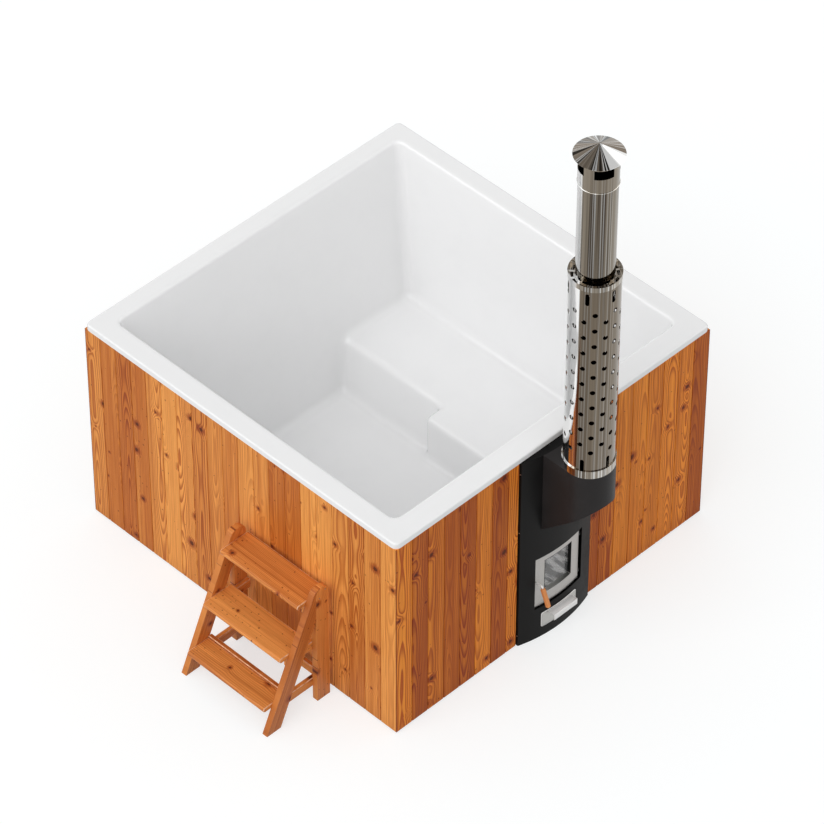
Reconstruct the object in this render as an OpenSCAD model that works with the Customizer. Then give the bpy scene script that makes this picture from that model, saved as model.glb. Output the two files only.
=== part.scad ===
// Square wood-fired hot tub. A one-skin fibreglass shell with a seat hangs in a boarded timber
// frame. A water-jacketed stove stands in a recess of the front wall, behind a curved steel panel,
// and its flue rises outside the wall in a perforated guard. A flight of three steps stands free.
// The origin is on the floor under the middle of the tub. +Z is up, the stove is towards -Y and
// the steps stand on the -X side.

/* [Tub] */
// Outside width and depth of the boarded walls
tub_side = 1800; // [1700:10:2000]
// Height of the rim above the floor
rim_top = 1072; // [1040:2:1140]
// Height of the turned-down edge of the rim
rim_edge_h = 28; // [22:1:40]
// How far the rim's edge stands back from the face of the boards
rim_inset = 0; // [0:0.5:10]
// Width of the flat rim on the left
rim_left = 100; // [80:1:120]
// Width of the flat rim on the right
rim_right = 89; // [80:1:110]
// Width of the flat rim above the stove
rim_front = 108; // [96:1:125]
// Width of the flat rim at the back
rim_back = 83; // [78:1:100]
// Outer corner radius of the rim
rim_corner_r = 25; // [15:1:60]
// Rounding of the rim's upper edge
rim_round = 8; // [3:1:12]

/* [Shell] */
// Thickness of the fibreglass skin
shell_t = 6; // [4:0.5:8]
// Height of the tub's floor
floor_top = 130; // [120:1:136]
// Radius of the corners between the walls and at the floor
corner_r = 35; // [20:1:60]
// Inward lean of the back wall, per unit of depth
draft_back = 0.23; // [0.15:0.01:0.26]
// Inward lean of the wall behind the seat, per unit of depth
draft_right = 0.14; // [0.08:0.01:0.18]
// Inward lean of the wall behind the steps, per unit of depth
draft_left = 0.1; // [0.05:0.01:0.14]
// Inward lean of the wall above the stove, per unit of depth
draft_front = 0.06; // [0.05:0.01:0.1]
// Height of the seat's top
seat_top = 357; // [320:1:400]
// Distance of the seat's front edge from the middle
seat_front = 316; // [300:1:380]
// How far the seat's front face leans out at the floor
seat_lean = 66; // [0:1:76]
// Rounding of the seat's edges
seat_r = 25; // [14:1:40]
// Distance of the wide seat's front edge from the middle
wide_seat_front = 222; // [216:1:260]
// Distance of the wide seat's back edge from the middle
wide_seat_back = 61; // [0:1:160]
// Half width of the recess that the stove stands in
recess_half = 262; // [250:1:300]
// Distance of the recess's back wall from the middle
recess_back = 450; // [440:1:455]
// Height of the recess's top
recess_top = 590; // [575:1:640]

/* [Boards and frame] */
// Thickness of the cladding boards
board_t = 19; // [14:1:24]
// Number of boards across one side
board_count = 20; // [14:1:24]
// Gap between neighbouring boards
board_gap = 1; // [0.5:0.1:3]
// Chamfer along the boards' face edges
board_chamfer = 2.5; // [1:0.5:5]
// Gap between the boards and the floor
board_lift = 6; // [2:1:12]
// Width of the square posts
post_w = 45; // [38:1:50]
// Thickness of the rails
rail_t = 28; // [22:1:34]
// Height of the rails
rail_h = 70; // [50:1:90]
// Height of the middle rails above the floor
mid_rail_z = 520; // [420:10:600]
// Width of the floor bearers
bearer_w = 45; // [38:1:60]
// Distance between the bearers under the floor
bearer_pitch = 300; // [280:5:310]
// Distance of the outer seat bearer from the middle
seat_bearer_x = 620; // [580:5:650]
// Distance between the two seat bearers
seat_bearer_pitch = 250; // [180:5:255]

/* [Drain] */
// Distance of the drain from the middle, towards the steps
drain_x = 405; // [380:1:430]
// Distance of the drain from the middle, towards the stove
drain_y = 500; // [300:10:600]
// Outside radius of the drain pipe
pipe_r = 20; // [16:0.5:22]
// Wall of the drain pipe
pipe_t = 2; // [1.5:0.5:3]
// Height of the drain pipe's axis
pipe_z = 48; // [44:1:52]
// Radius of the valve's ball
ball_r = 24; // [22:0.5:26]
// Length of the valve's hose spigot
spigot_len = 40; // [30:1:60]
// Length of the valve's lever
lever_len = 95; // [70:1:110]

/* [Stove panel] */
// Width of the curved panel
panel_w = 415; // [405:1:430]
// How far the panel bulges between its edges
panel_bulge = 34; // [30:1:38]
// Thickness of the panel's steel
panel_t = 2.5; // [1.5:0.5:3]
// How far the panel's edges stand out from the boards
panel_proud = 8; // [6:1:12]
// Gap between the panel and the floor
panel_lift = 4; // [2:1:10]
// Radius of the panel's screw heads
screw_r = 3; // [2:0.5:4]

/* [Stove] */
// Outside width of the water jacket
jacket_w = 380; // [360:2:390]
// Height of the jacket's underside
jacket_z = 46; // [40:1:52]
// Height of the jacket's top
jacket_top = 546; // [530:1:556]
// Distance of the jacket's back from the middle
jacket_back = 476; // [472:1:480]
// Steel of the jacket
jacket_t = 3; // [2:0.5:4]
// Water gap between the jacket and the firebox
water_gap = 32; // [24:1:34]
// Water gap under the firebox
water_gap_low = 8; // [6:1:10]
// Steel of the firebox
firebox_t = 4; // [3:0.5:6]
// Thickness of the stove's front plate
plate_t = 6; // [4:0.5:8]
// Height of the fire grate
grate_z = 178; // [170:1:186]
// Width of the bars of the fire grate
grate_bar = 12; // [8:1:14]
// Height of the lower water pipe's axis
intake_z = 190; // [184:1:210]
// Height of the upper water pipe's axis
return_z = 490; // [460:1:500]
// Outside radius of the water pipes
water_pipe_r = 25; // [20:1:28]

/* [Stove door] */
// Distance of the door's latch edge from the middle
door_left = 130; // [126:1:134]
// Distance of the door's hinge edge from the middle
door_right = 124; // [120:1:128]
// Height of the door's lower edge
door_z = 179; // [177:1:183]
// Height of the door's upper edge
door_top = 462; // [450:1:470]
// How far the door stands back from the panel's face
door_recess = 8; // [7:0.5:10]
// Steel of the door frame
door_t = 3; // [2:0.5:4]
// Gap round the door in the panel
door_gap = 4; // [3:0.5:6]
// Gap beside the hinges in the panel
hinge_gap = 14; // [14:0.5:18]
// Width of the door's window
window_w = 157; // [130:1:165]
// Height of the door's window
window_h = 190; // [160:1:200]
// Thickness of the door's glass
glass_t = 4; // [3:0.5:5]
// Radius of the hinge pins
hinge_pin_r = 3; // [2.5:0.1:3.4]
// Radial running clearance of the hinge pins
pin_clearance = 0.05; // [0.02:0.01:0.09]
// Height of the latch spindle
latch_z = 326; // [300:1:350]
// Radius of the latch rod
latch_rod_r = 4; // [3.5:0.1:4.5]
// Radius of the wooden grip
grip_r = 11; // [9:0.5:13]
// Length of the wooden grip
grip_len = 89; // [70:1:95]

/* [Ash drawer] */
// Width of the drawer's front plate
drawer_w = 204; // [196:1:214]
// Height of the front plate's lower edge
drawer_z = 60; // [58:1:62]
// Height of the front plate's upper edge
drawer_top = 141; // [138:1:146]
// Thickness of the front plate
drawer_t = 3; // [2:0.5:4]
// Width of the ash tray
tray_w = 168; // [150:1:174]
// Length of the ash tray behind the panel
tray_len = 370; // [320:5:380]
// Width of the pull
pull_w = 136; // [110:1:150]
// How far the pull stands out
pull_out = 34; // [28:1:40]
// Height of the pull's lip
pull_lip = 32; // [26:1:34]

/* [Flue] */
// Distance of the flue's axis from the tub's middle
flue_y = 1076; // [1060:1:1090]
// Outside radius of the flue box round the flue
flue_box_r = 110; // [108:1:114]
// Steel of the flue box
flue_box_t = 2.5; // [2:0.5:3]
// Height of the flue box's underside where its sides meet the panel
flue_box_foot = 628; // [600:1:636]
// Rise of the underside, per unit of its run
flue_box_slope = 0.953; // [0.8:0.01:1]
// Half width of the smoke duct
duct_half = 80; // [60:1:90]
// Outside radius of the flue pipe
flue_r = 79; // [76:0.5:80]
// Wall of the flue pipe
flue_t = 1.5; // [1:0.5:2]
// Distance of the flue pipe's upper end below the cone's edge
flue_top = 84; // [74:2:244]
// Height of the smoke duct's way into the flue box
duct_h = 150; // [120:5:160]
// Depth of the smoke duct's upright part
duct_depth = 60; // [50:1:64]
// Distance of the smoke duct's front behind the face of the boards
duct_set_back = 20; // [14:1:24]

/* [Flue guard] */
// Outside radius of the guard
guard_r = 105; // [103:0.5:106]
// Sheet of the guard
guard_t = 1.5; // [1:0.1:1.8]
// Height of the guard's upper end
guard_top = 2036; // [2020:1:2050]
// Height of the base ring's band
base_ring_h = 38; // [30:1:40]
// Height of the top ring's band
top_ring_h = 24; // [18:1:30]
// Number of columns of round holes
hole_columns = 15; // [9:1:16]
// Holes in a full column
hole_rows = 10; // [6:1:10]
// Radius of the round holes
hole_r = 11; // [7:0.5:12]
// Height of the lowest hole's centre
hole_z = 1181; // [1175:1:1200]
// Distance between holes in a column
hole_pitch = 81.3; // [75:0.1:82]
// Width of the upright slots
slot_w = 17; // [10:1:20]
// Length of the upright slots
slot_len = 60; // [40:1:62]
// Height of the lower slots above the guard's foot
slot_low = 34; // [26:1:50]
// Distance of the upper slots' feet below the guard's upper end
slot_high = 76; // [68:1:90]
// Number of windows in the top ring
ring_windows = 14; // [8:1:16]

/* [Cap] */
// Distance of the collar's lower edge below the pipe's upper end
cap_z = 52; // [40:2:260]
// Height of the cone's edge
cone_z = 2644; // [2636:2:2660]
// Radius of the cone
cone_r = 102; // [95:1:110]
// Height of the cone
cone_h = 50; // [35:1:60]
// Sheet of the cap
cap_t = 1.5; // [1:0.5:2]
// Height of the smoke windows
cap_window_h = 43; // [30:1:50]
// Distance of the smoke windows below the cone's edge
cap_window_drop = 23; // [14:1:28]
// Angle that each smoke window spans
cap_window_angle = 58; // [40:1:70]

/* [Steps] */
// Overall width of the steps
steps_w = 506; // [420:2:600]
// Distance of the steps' right side from the middle, towards the stove
steps_y = 548; // [500:2:600]
// Gap between the steps' legs and the tub
steps_gap = 30; // [22:1:60]
// Thickness of the steps' side frames
frame_t = 28; // [22:1:32]
// Width of the legs and stringers
leg_w = 70; // [60:1:80]
// Height of the side frames
frame_h = 633; // [620:1:660]
// Lean of the stringers from upright, in degrees
stringer_angle = 23.9; // [20:0.1:26]
// Thickness of the treads
tread_t = 24; // [20:1:28]
// Depth of the top and middle treads
tread_d = 158; // [145:1:165]
// Depth of the bottom tread, in front of its rail
tread_low_d = 118; // [108:1:126]
// Distance of the top tread below the top of the side frames
tread_1 = 53; // [43:1:63]
// Height of the middle tread
tread_2 = 350; // [335:1:365]
// Height of the bottom tread
tread_3 = 135; // [130:1:145]
// How far the treads' nosings stand ahead of the stringers
nosing = 50; // [40:1:56]
// Width of the rails of the steps
cleat_h = 46; // [36:1:48]
// Height of the low rails above the floor
low_rail_z = 69; // [60:1:76]
// Thickness of the rails of the steps
cleat_t = 20; // [16:1:24]

/* [Hidden] */
$fn = 64;
// Facets of the curved panel's large radius
fine = 360;
// Facets of the shell's small roundings
soft = 20;
// Gap left where two curved faces meet
seat_gap = 0.3;
// Gap left under the moulded shell where timber carries it
rest_gap = 0.05;
// Play round parts that are pressed or screwed in
tight_gap = 0.02;
// Length that a cut runs past the face it opens
over = 5;

half = tub_side / 2;
rim_half = half - rim_inset;
wood_top = rim_top - rim_edge_h;
board_pitch = tub_side / board_count;
frame_face = half - board_t;
post_in = frame_face - post_w;
rim_under = rim_top - shell_t;
floor_under = floor_top - shell_t;
bearer_top = floor_under - rest_gap;
// Gap between the mitred boards at the tub's corners
mitre_gap = 0.1;
depth = rim_top - floor_top;
open_left = rim_left - rim_half;
open_right = rim_half - rim_right;
open_front = rim_front - rim_half;
open_back = rim_half - rim_back;

// The panel is part of an upright cylinder, and the door and the drawer follow it.
panel_edge_y = -half - panel_proud;
panel_r = (pow(panel_w / 2, 2) + pow(panel_bulge, 2)) / (2 * panel_bulge);
panel_cy = panel_edge_y - panel_bulge + panel_r;
panel_front_y = panel_edge_y - panel_bulge;
panel_top = wood_top;
stove_gap = 3;
opening_half = panel_w / 2 + stove_gap;
plate_front_y = -half + 4;
plate_back_y = plate_front_y + plate_t;
gasket_t = 6;
door_back_y = plate_front_y - gasket_t;
door_r = panel_r - door_recess;
// Rise of the window's middle above the door's
window_rise = 14.5;
window_mid_z = (door_z + door_top) / 2 + window_rise;
window_mid_x = (door_right - door_left) / 2;
window_bevel = 6;
glass_lap = 11;
glass_y = door_back_y - 8;
gasket_w = 9;
gasket_inset = 17;

// The hinge axis lies behind the gap at the door's right edge.
hinge_x = door_right + 6;
hinge_y = -sqrt(pow(door_r, 2) - pow(door_right, 2)) + panel_cy + 4;
hinge_barrel = 5;
hinge_lug_h = 8;
hinge_inset = [32, 40];
hinge_low_z = door_z + hinge_inset[0];
hinge_high_z = door_top - hinge_inset[1];
latch_x = -door_left + 8;
tongue_len = 18;
tongue_t = 3;
tongue_w = 12;
tongue_y = door_back_y + seat_gap + tongue_t;
latch_bend = 12;
// How far the latch rod stands out from the panel
rod_reach = 6;
rod_out_y = -panel_front_y + rod_reach;
grip_tilt = 23;

firebox_half = jacket_w / 2 - jacket_t - water_gap;
firebox_back = -jacket_back - jacket_t - water_gap;
firebox_z = jacket_z + jacket_t + water_gap_low;
firebox_top = jacket_top - jacket_t - water_gap;
duct_t = 3;
duct_o = duct_half + duct_t;
// Gap for the weld where one steel box passes through another
weld_gap = 0.2;
// Play round the duct in the front plate and the panel
duct_play = 1;
water_pipe_t = 3;
duct_front_y = -half + duct_set_back;
duct_back_y = duct_front_y + duct_depth;
// How far the duct reaches into the flue box, past the panel
duct_reach = 18;
flank_y = panel_cy - sqrt(pow(panel_r, 2) - pow(flue_box_r, 2));
// Rise of the duct's way above the flue box's foot
throat_rise = 36;
throat_z = flue_box_foot + throat_rise;
throat_top = throat_z + duct_h;
// Play round the ash tray in its way
tray_play = 4;
// Lap of the drawer's front over the panel
drawer_lap = 5;
ash_open_half = tray_w / 2 + tray_play;
tray_z = drawer_z + 2 * drawer_lap;
tray_top = drawer_top - 2 * drawer_lap;
tray_t = 2;
guide_z = firebox_z + firebox_t;
flue_wall_in = flue_r - flue_t;
guard_foot_z = wood_top + 2.5;
first_column = 33.5;
first_slot = -152.4;
first_cap_window = -120.5;
cone_drop = cone_h / cone_r;
pipe_end = cone_z - flue_top;

// Play of the shell's holes round the drain and the water pipes
hole_play = 1;
drain_neck_r = pipe_r + 5;
drain_flange_t = 3;
valve_y = half + 52;
valve_body_r = ball_r + 5;
valve_end = ball_r + 20;
valve_stop = ball_r + 8;
valve_bore_r = ball_r * 0.6;
stem_r = 5;
gland_top = valve_body_r + 6;
steps_x = -half - steps_gap;
stringer_foot_x = steps_x - leg_w / 2 - frame_h * tan(stringer_angle);
top_tread_z = frame_h - tread_1;

wood = "#c8803f";
wood_dark = "#b56f33";
pine = "#d9b98a";
white = "#f2f3f4";
black = "#2b2c2d";
steel = "#b9bbb8";
mirror_steel = "#a9a49a";
brass = "#b08d57";
red = "#c03028";
iron = "#4a4a4c";

module block(x, y, z) {
    translate([x[0], y[0], z[0]]) cube([x[1] - x[0], y[1] - y[0], z[1] - z[0]]);
}

module pipe(r, t, z0, z1) {
    translate([0, 0, z0]) difference() {
        cylinder(r = r, h = z1 - z0);
        translate([0, 0, -over]) cylinder(r = r - t, h = z1 - z0 + 2 * over);
    }
}

// A bar along Y, from y0 to y1
module bar_y(x, z, r, y0, y1) {
    translate([x, y0, z]) rotate([-90, 0, 0]) cylinder(r = r, h = y1 - y0);
}

// Shell

// Distance of a faceted ball's flattened pole from its middle
function pole(r) = r * cos(180 / soft);

// The water space, grown by g into the skin
module water_space(g, top) {
    r = corner_r + g;
    foot_z = floor_top - g + pole(r);
    inset = corner_r;
    hull() {
        for (x = [open_left + inset, open_right - inset], y = [open_front + inset, open_back - inset])
            translate([x, y, top]) cylinder(r = r, h = over, $fn = soft);
        for (x = [open_left + draft_left * depth + inset, open_right - draft_right * depth - inset],
             y = [open_front + draft_front * depth + inset, open_back - draft_back * depth - inset])
            translate([x, y, foot_z]) sphere(r = r, $fn = soft);
    }
}

// A moulded step in the shell: flat top, rounded edges, shrunk by g. Its low-x face leans out
// by the given amount at the tub's floor, and runs on below it.
module moulded_step(x, y, top, lean, g) {
    r = seat_r - g;
    foot_lean = lean * (top - seat_r) / (top - seat_r - floor_top);
    hull() for (cx = [x[0] + seat_r, x[1] - seat_r], cy = [y[0] + seat_r, y[1] - seat_r]) {
        translate([cx, cy, top - g - pole(r)]) sphere(r = r, $fn = soft);
        translate([cx - (cx < x[1] - seat_r ? foot_lean : 0), cy, 0]) cylinder(r = r, h = 1, $fn = soft);
    }
}

module moulded_steps(g) {
    far = half + 60;
    moulded_step([seat_front, far], [-far, far], seat_top, seat_lean, g);
    moulded_step([wide_seat_front, far], [-far, wide_seat_back], seat_top, 0, g);
    moulded_step([-recess_half, recess_half], [-far, -recess_back], recess_top, 0, g);
}

// The rim as a full block, or the hollow under it, whose rounded edge ends outside the frame
module rim_form(g, top) {
    c = rim_half - rim_corner_r;
    rr = rim_corner_r - g;
    edge_r = g > 0 ? (rim_half - g - frame_face) / 2 : rim_round;
    hull() for (x = [-c, c], y = [-c, c]) translate([x, y, 0]) {
        translate([0, 0, wood_top - g]) cylinder(r = rr, h = 1, $fn = soft);
        translate([0, 0, top - edge_r]) rotate_extrude($fn = soft)
            translate([rr - edge_r, 0]) intersection() {
                circle(r = edge_r, $fn = soft);
                square([edge_r, edge_r]);
            }
    }
}

module shell() {
    color(white) difference() {
        union() {
            difference() {
                rim_form(0, rim_top);
                rim_form(shell_t, rim_under);
            }
            difference() {
                water_space(shell_t, rim_under - over + shell_t / 2);
                moulded_steps(shell_t);
            }
        }
        difference() {
            water_space(0, rim_top);
            moulded_steps(0);
        }
        translate([-drain_x, -drain_y, floor_under - over])
            cylinder(r = drain_neck_r + hole_play, h = shell_t + 2 * over);
        for (z = [intake_z, return_z])
            bar_y(0, z, water_pipe_r + hole_play, -recess_back - shell_t - over, -recess_back + over);
    }
}

// Boards and frame

// The plan of one board, from u0 to u1 along the wall, its face at v = 0
module board_plan(u0, u1) {
    first = u0 < 1 - half;
    last = u1 > half - 1;
    a = u0 + (first ? mitre_gap : board_gap / 2);
    b = u1 - (last ? mitre_gap : board_gap / 2);
    ca = first ? 0 : board_chamfer;
    cb = last ? 0 : board_chamfer;
    polygon([
        [a, ca], [a + ca, 0], [b - cb, 0], [b, cb],
        [b - (last ? board_t : 0), board_t], [a + (first ? board_t : 0), board_t]
    ]);
}

// The boards of one wall between u = a and u = b, turned to face the wanted side
module boards(turn, a, b) {
    rotate([0, 0, turn]) translate([0, -half, board_lift])
        for (i = [0 : board_count - 1]) {
            u0 = max(a, -half + i * board_pitch);
            u1 = min(b, -half + (i + 1) * board_pitch);
            if (u1 - u0 > 3 * board_chamfer)
                linear_extrude(wood_top - board_lift) board_plan(u0, u1);
        }
}

module cladding_left() { color(wood) boards(-90, -half, half); }
module cladding_right() { color(wood) boards(90, -half, half); }
module cladding_back() {
    color(wood) difference() {
        boards(180, -half, half);
        bar_y(-drain_x, pipe_z, pipe_r + 3 * hole_play, frame_face - over, half + over);
    }
}
module cladding_front_left() { color(wood) boards(0, -half, -opening_half); }
module cladding_front_right() { color(wood) boards(0, opening_half, half); }

module post(x, y) {
    block([x - post_w / 2, x + post_w / 2], [y - post_w / 2, y + post_w / 2], [0, rim_under]);
}

post_mid = frame_face - post_w / 2;
module corner_posts() {
    color(pine) for (x = [-post_mid, post_mid], y = [-post_mid, post_mid]) post(x, y);
}
module middle_posts() {
    color(pine) {
        post(-post_mid, 0);
        post(post_mid, 0);
        post(0, post_mid);
    }
}
stove_post_x = opening_half + post_w / 2;
module stove_posts() {
    color(pine) for (x = [-stove_post_x, stove_post_x]) post(x, -post_mid);
}

rail_heights = [bearer_top, mid_rail_z, rim_under - rail_h];
// Two lengths of rail on each level, between the corner posts and whatever stands between them
module rails(turn, gap) {
    rotate([0, 0, turn]) for (z = rail_heights, s = [-1, 1])
        block(s < 0 ? [-post_in, -gap] : [gap, post_in], [-frame_face, -frame_face + rail_t],
              [z, z + rail_h]);
}
module rails_left() { color(pine) rails(-90, post_w / 2); }
module rails_right() { color(pine) rails(90, post_w / 2); }
module rails_back() { color(pine) rails(180, post_w / 2); }
module rails_front() { color(pine) rails(0, stove_post_x + post_w / 2); }

floor_bearers_x = [-2 * bearer_pitch, -bearer_pitch, 0, seat_front - seat_lean - bearer_w];
seat_bearers_x = [seat_bearer_x - seat_bearer_pitch, seat_bearer_x];
// Bearers that would meet the stove start behind it
stove_clear = 12;
function bearer_start(x) =
    abs(x) - bearer_w / 2 < opening_half + post_w ? stove_clear - jacket_back : -frame_face;
module floor_bearers() {
    color(pine) for (x = concat(floor_bearers_x, seat_bearers_x))
        block([x - bearer_w / 2, x + bearer_w / 2], [bearer_start(x), x == 0 ? post_in : frame_face],
              [0, bearer_top]);
}
module seat_supports() {
    front = open_front + depth * draft_front + 2 * seat_r;
    color(pine) for (x = seat_bearers_x)
        block([x - bearer_w / 2, x + bearer_w / 2], [front, open_back - depth * draft_back],
              [bearer_top, seat_top - shell_t - rest_gap]);
}

// Drain

// A flange with seven small holes on a neck that takes the pipe
module drain_flange() {
    neck = 10;
    holes = [for (k = [0 : 5]) pipe_r * 0.55 * [cos(60 * k), sin(60 * k)]];
    color(steel) translate([-drain_x, -drain_y, 0]) difference() {
        union() {
            translate([0, 0, floor_top]) cylinder(r = pipe_r + 22, h = drain_flange_t);
            translate([0, 0, floor_under - neck])
                cylinder(r = drain_neck_r, h = neck + shell_t + drain_flange_t / 2);
        }
        for (at = concat([[0, 0]], holes)) translate([at[0], at[1], floor_under])
            cylinder(r = pipe_r * 0.2, h = shell_t + drain_flange_t + over);
        translate([0, 0, floor_under - neck - over])
            cylinder(r = pipe_r + seat_gap, h = neck + over + shell_t / 2);
    }
}

module drain_pipe() {
    bend = 26;
    color(steel) translate([-drain_x, -drain_y, pipe_z]) {
        translate([0, 0, bend]) pipe(pipe_r, pipe_t, 0, floor_under + shell_t / 2 - pipe_z - bend);
        translate([0, bend, bend]) rotate([0, 90, 0])
            rotate_extrude(angle = -90) translate([bend, 0]) difference() {
                circle(r = pipe_r);
                circle(r = pipe_r - pipe_t);
            }
        translate([0, bend, 0]) rotate([-90, 0, 0])
            pipe(pipe_r, pipe_t, 0, valve_y - valve_stop + drain_y - bend);
    }
}

module drain_valve() {
    color(brass) translate([-drain_x, valve_y, pipe_z]) difference() {
        union() {
            bar_y(0, 0, drain_neck_r, -valve_end, valve_end);
            sphere(r = valve_body_r);
            cylinder(r = 2 * stem_r, h = gland_top);
            bar_y(0, 0, pipe_r, valve_end, valve_end + spigot_len);
        }
        sphere(r = ball_r + seat_gap);
        bar_y(0, 0, valve_bore_r, -valve_end, valve_end + spigot_len + over);
        bar_y(0, 0, pipe_r + seat_gap, -valve_end - over, -valve_stop);
        cylinder(r = stem_r + pin_clearance, h = gland_top + over);
    }
}

module drain_ball() {
    color(steel) translate([-drain_x, valve_y, pipe_z]) difference() {
        union() {
            sphere(r = ball_r);
            cylinder(r = stem_r, h = gland_top + seat_gap);
        }
        rotate([0, 90, 0]) cylinder(r = valve_bore_r, h = 3 * ball_r, center = true);
    }
}

// A flat lever held on the stem by a hexagon nut
module drain_lever() {
    w = 8;
    t = 4;
    color(red) translate([-drain_x, valve_y, pipe_z + gland_top + seat_gap]) {
        cylinder(r = 2 * stem_r + 1, h = t);
        block([0, lever_len], [-w, w], [0, t]);
        translate([lever_len, 0, 0]) cylinder(r = w, h = t);
        cylinder(r = stem_r, h = 2.5 * t, $fn = 6);
    }
}

// Stove

module water_jacket() {
    w = jacket_w / 2;
    o = duct_o + weld_gap;
    color(steel) difference() {
        block([-w, w], [plate_back_y, -jacket_back], [jacket_z, jacket_top]);
        block([jacket_t - w, w - jacket_t], [plate_back_y + jacket_t, -jacket_back - jacket_t],
              [jacket_z + jacket_t, jacket_top - jacket_t]);
        block([-firebox_half - weld_gap, firebox_half + weld_gap],
              [plate_back_y - over, plate_back_y + 2 * jacket_t],
              [firebox_z - weld_gap, firebox_top + weld_gap]);
        block([-o, o], [duct_front_y - weld_gap, duct_back_y + weld_gap],
              [jacket_top - jacket_t - over, jacket_top + over]);
        for (z = [intake_z, return_z])
            bar_y(0, z, water_pipe_r - water_pipe_t, -jacket_back - 2 * jacket_t, -jacket_back + over);
    }
}

module firebox() {
    color(iron) difference() {
        block([-firebox_half, firebox_half], [plate_back_y, firebox_back], [firebox_z, firebox_top]);
        block([firebox_t - firebox_half, firebox_half - firebox_t],
              [plate_back_y - over, firebox_back - firebox_t],
              [firebox_z + firebox_t, firebox_top - firebox_t]);
        block([-duct_half, duct_half], [duct_front_y + duct_t, duct_back_y - duct_t],
              [firebox_top - firebox_t - over, firebox_top + over]);
    }
}

module fire_grate() {
    w = firebox_half - firebox_t - seat_gap;
    y0 = plate_back_y + grate_bar;
    y1 = firebox_back - firebox_t - seat_gap;
    h = 12;
    bars = floor((2 * w - grate_bar) / (2 * grate_bar));
    step = (2 * w - grate_bar) / bars;
    color(iron) {
        for (i = [0 : bars])
            block([-w + i * step, -w + i * step + grate_bar], [y0, y1], [grate_z, grate_z + h]);
        for (y = [y0, (y0 + y1) / 2, y1 - grate_bar])
            block([-w, w], [y, y + grate_bar], [grate_z, grate_z + h * 2 / 3]);
    }
}

module stove_feet() {
    inset = 40;
    foot_r = 24;
    color(iron) for (x = [-1, 1], y = [plate_back_y + inset, -jacket_back - 1.5 * inset])
        translate([x * (jacket_w / 2 - inset), y, 0]) {
            cylinder(r = foot_r, h = 5);
            cylinder(r = foot_r / 2, h = jacket_z);
        }
}

// The pan behind the panel: a plate with folded sides that the panel is screwed to
module stove_front() {
    side = panel_w / 2 - panel_t - seat_gap;
    fold_t = 3;
    skirt = 6;
    head = 14;
    fire_x = [window_w / 2 + 16, window_w / 2 + 12];
    fire_z = [grate_z + 26, door_top - 34];
    z = [jacket_z - skirt, panel_top - head];
    through = [plate_front_y - over, plate_back_y + over];
    color(black) difference() {
        union() {
            block([-side, side], [plate_front_y, plate_back_y], z);
            for (s = [-1, 1])
                block(s < 0 ? [-side, fold_t - side] : [side - fold_t, side],
                      [panel_edge_y + panel_t + seat_gap, plate_back_y], z);
        }
        block([-fire_x[0], fire_x[1]], through, fire_z);
        block([-ash_open_half, ash_open_half], through, [guide_z, tray_top + tray_play]);
        duct_way(through);
        screw_ways(side);
    }
}

// The way that the smoke duct takes through the sheets in front of it
module duct_way(y) {
    o = duct_o + duct_play;
    block([-o, o], y, [throat_z - duct_t - duct_play, throat_top + duct_t + duct_play]);
}

// Threaded holes of the panel's screws in a sheet at the given distance from the middle
module screw_ways(x) {
    for (s = [-1, 1], z = screw_heights) translate([s * x, screw_y, z])
        rotate([0, 90, 0]) cylinder(r = screw_shank_r, h = 2 * screw_len, center = true);
}

module smoke_duct() {
    o = duct_o;
    front = panel_front_y - duct_reach;
    color(iron) difference() {
        union() {
            block([-o, o], [duct_front_y, duct_back_y], [firebox_top, throat_top + duct_t]);
            block([-o, o], [front, duct_back_y], [throat_z - duct_t, throat_top + duct_t]);
        }
        block([-duct_half, duct_half], [duct_front_y + duct_t, duct_back_y - duct_t],
              [firebox_top - over, throat_top]);
        block([-duct_half, duct_half], [front - over, duct_back_y - duct_t], [throat_z, throat_top]);
    }
}

// A wall fitting with a grille, and its tube through the recess's back wall to the jacket
module water_fitting(z) {
    reach = jacket_back - recess_back;
    flange_t = 3;
    boss = 8;
    hole = 4;
    color(steel) translate([0, -recess_back, z]) rotate([-90, 0, 0]) difference() {
        union() {
            cylinder(r = water_pipe_r + 20, h = flange_t);
            cylinder(r = water_pipe_r + 6, h = boss);
            translate([0, 0, -reach]) cylinder(r = water_pipe_r, h = reach + flange_t / 2);
        }
        translate([0, 0, -reach - over])
            cylinder(r = water_pipe_r - water_pipe_t, h = reach + over + boss - flange_t);
        for (k = [0 : 7]) rotate([0, 0, 45 * k]) translate([water_pipe_r * 0.55, 0, 0])
            cylinder(r = hole, h = boss + over);
        cylinder(r = hole, h = boss + over);
    }
}
module intake_fitting() { water_fitting(intake_z); }
module return_fitting() { water_fitting(return_z); }

module hinge_brackets() {
    arm = hinge_barrel - 1;
    color(steel) for (z = [hinge_low_z, hinge_high_z]) difference() {
        union() {
            block([hinge_x - arm, hinge_x + arm], [hinge_y, plate_front_y], [z, z + hinge_lug_h]);
            translate([hinge_x, hinge_y, z]) cylinder(r = hinge_barrel, h = hinge_lug_h);
        }
        translate([hinge_x, hinge_y, z - over])
            cylinder(r = hinge_pin_r + pin_clearance, h = hinge_lug_h + 2 * over);
    }
}

// A strap beside the door; the latch's tongue turns in behind its lip
module latch_keeper() {
    x0 = -door_left - 15;
    lip = tongue_y - tongue_t - 1.2;
    t = 3;
    z = [latch_z - 14, latch_z + 14];
    color(steel) {
        block([x0, x0 + t], [lip - t, plate_front_y], z);
        block([x0, x0 + 3 * t], [lip - t, lip], z);
    }
}

module drawer_guides() {
    w = 16;
    inner = tray_w / 2 + 2 - w;
    color(iron) for (x = [-inner - w, inner])
        block([x, x + w], [plate_back_y, panel_edge_y + tray_len - 20], [guide_z, tray_z - seat_gap]);
}

// Panel

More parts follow.
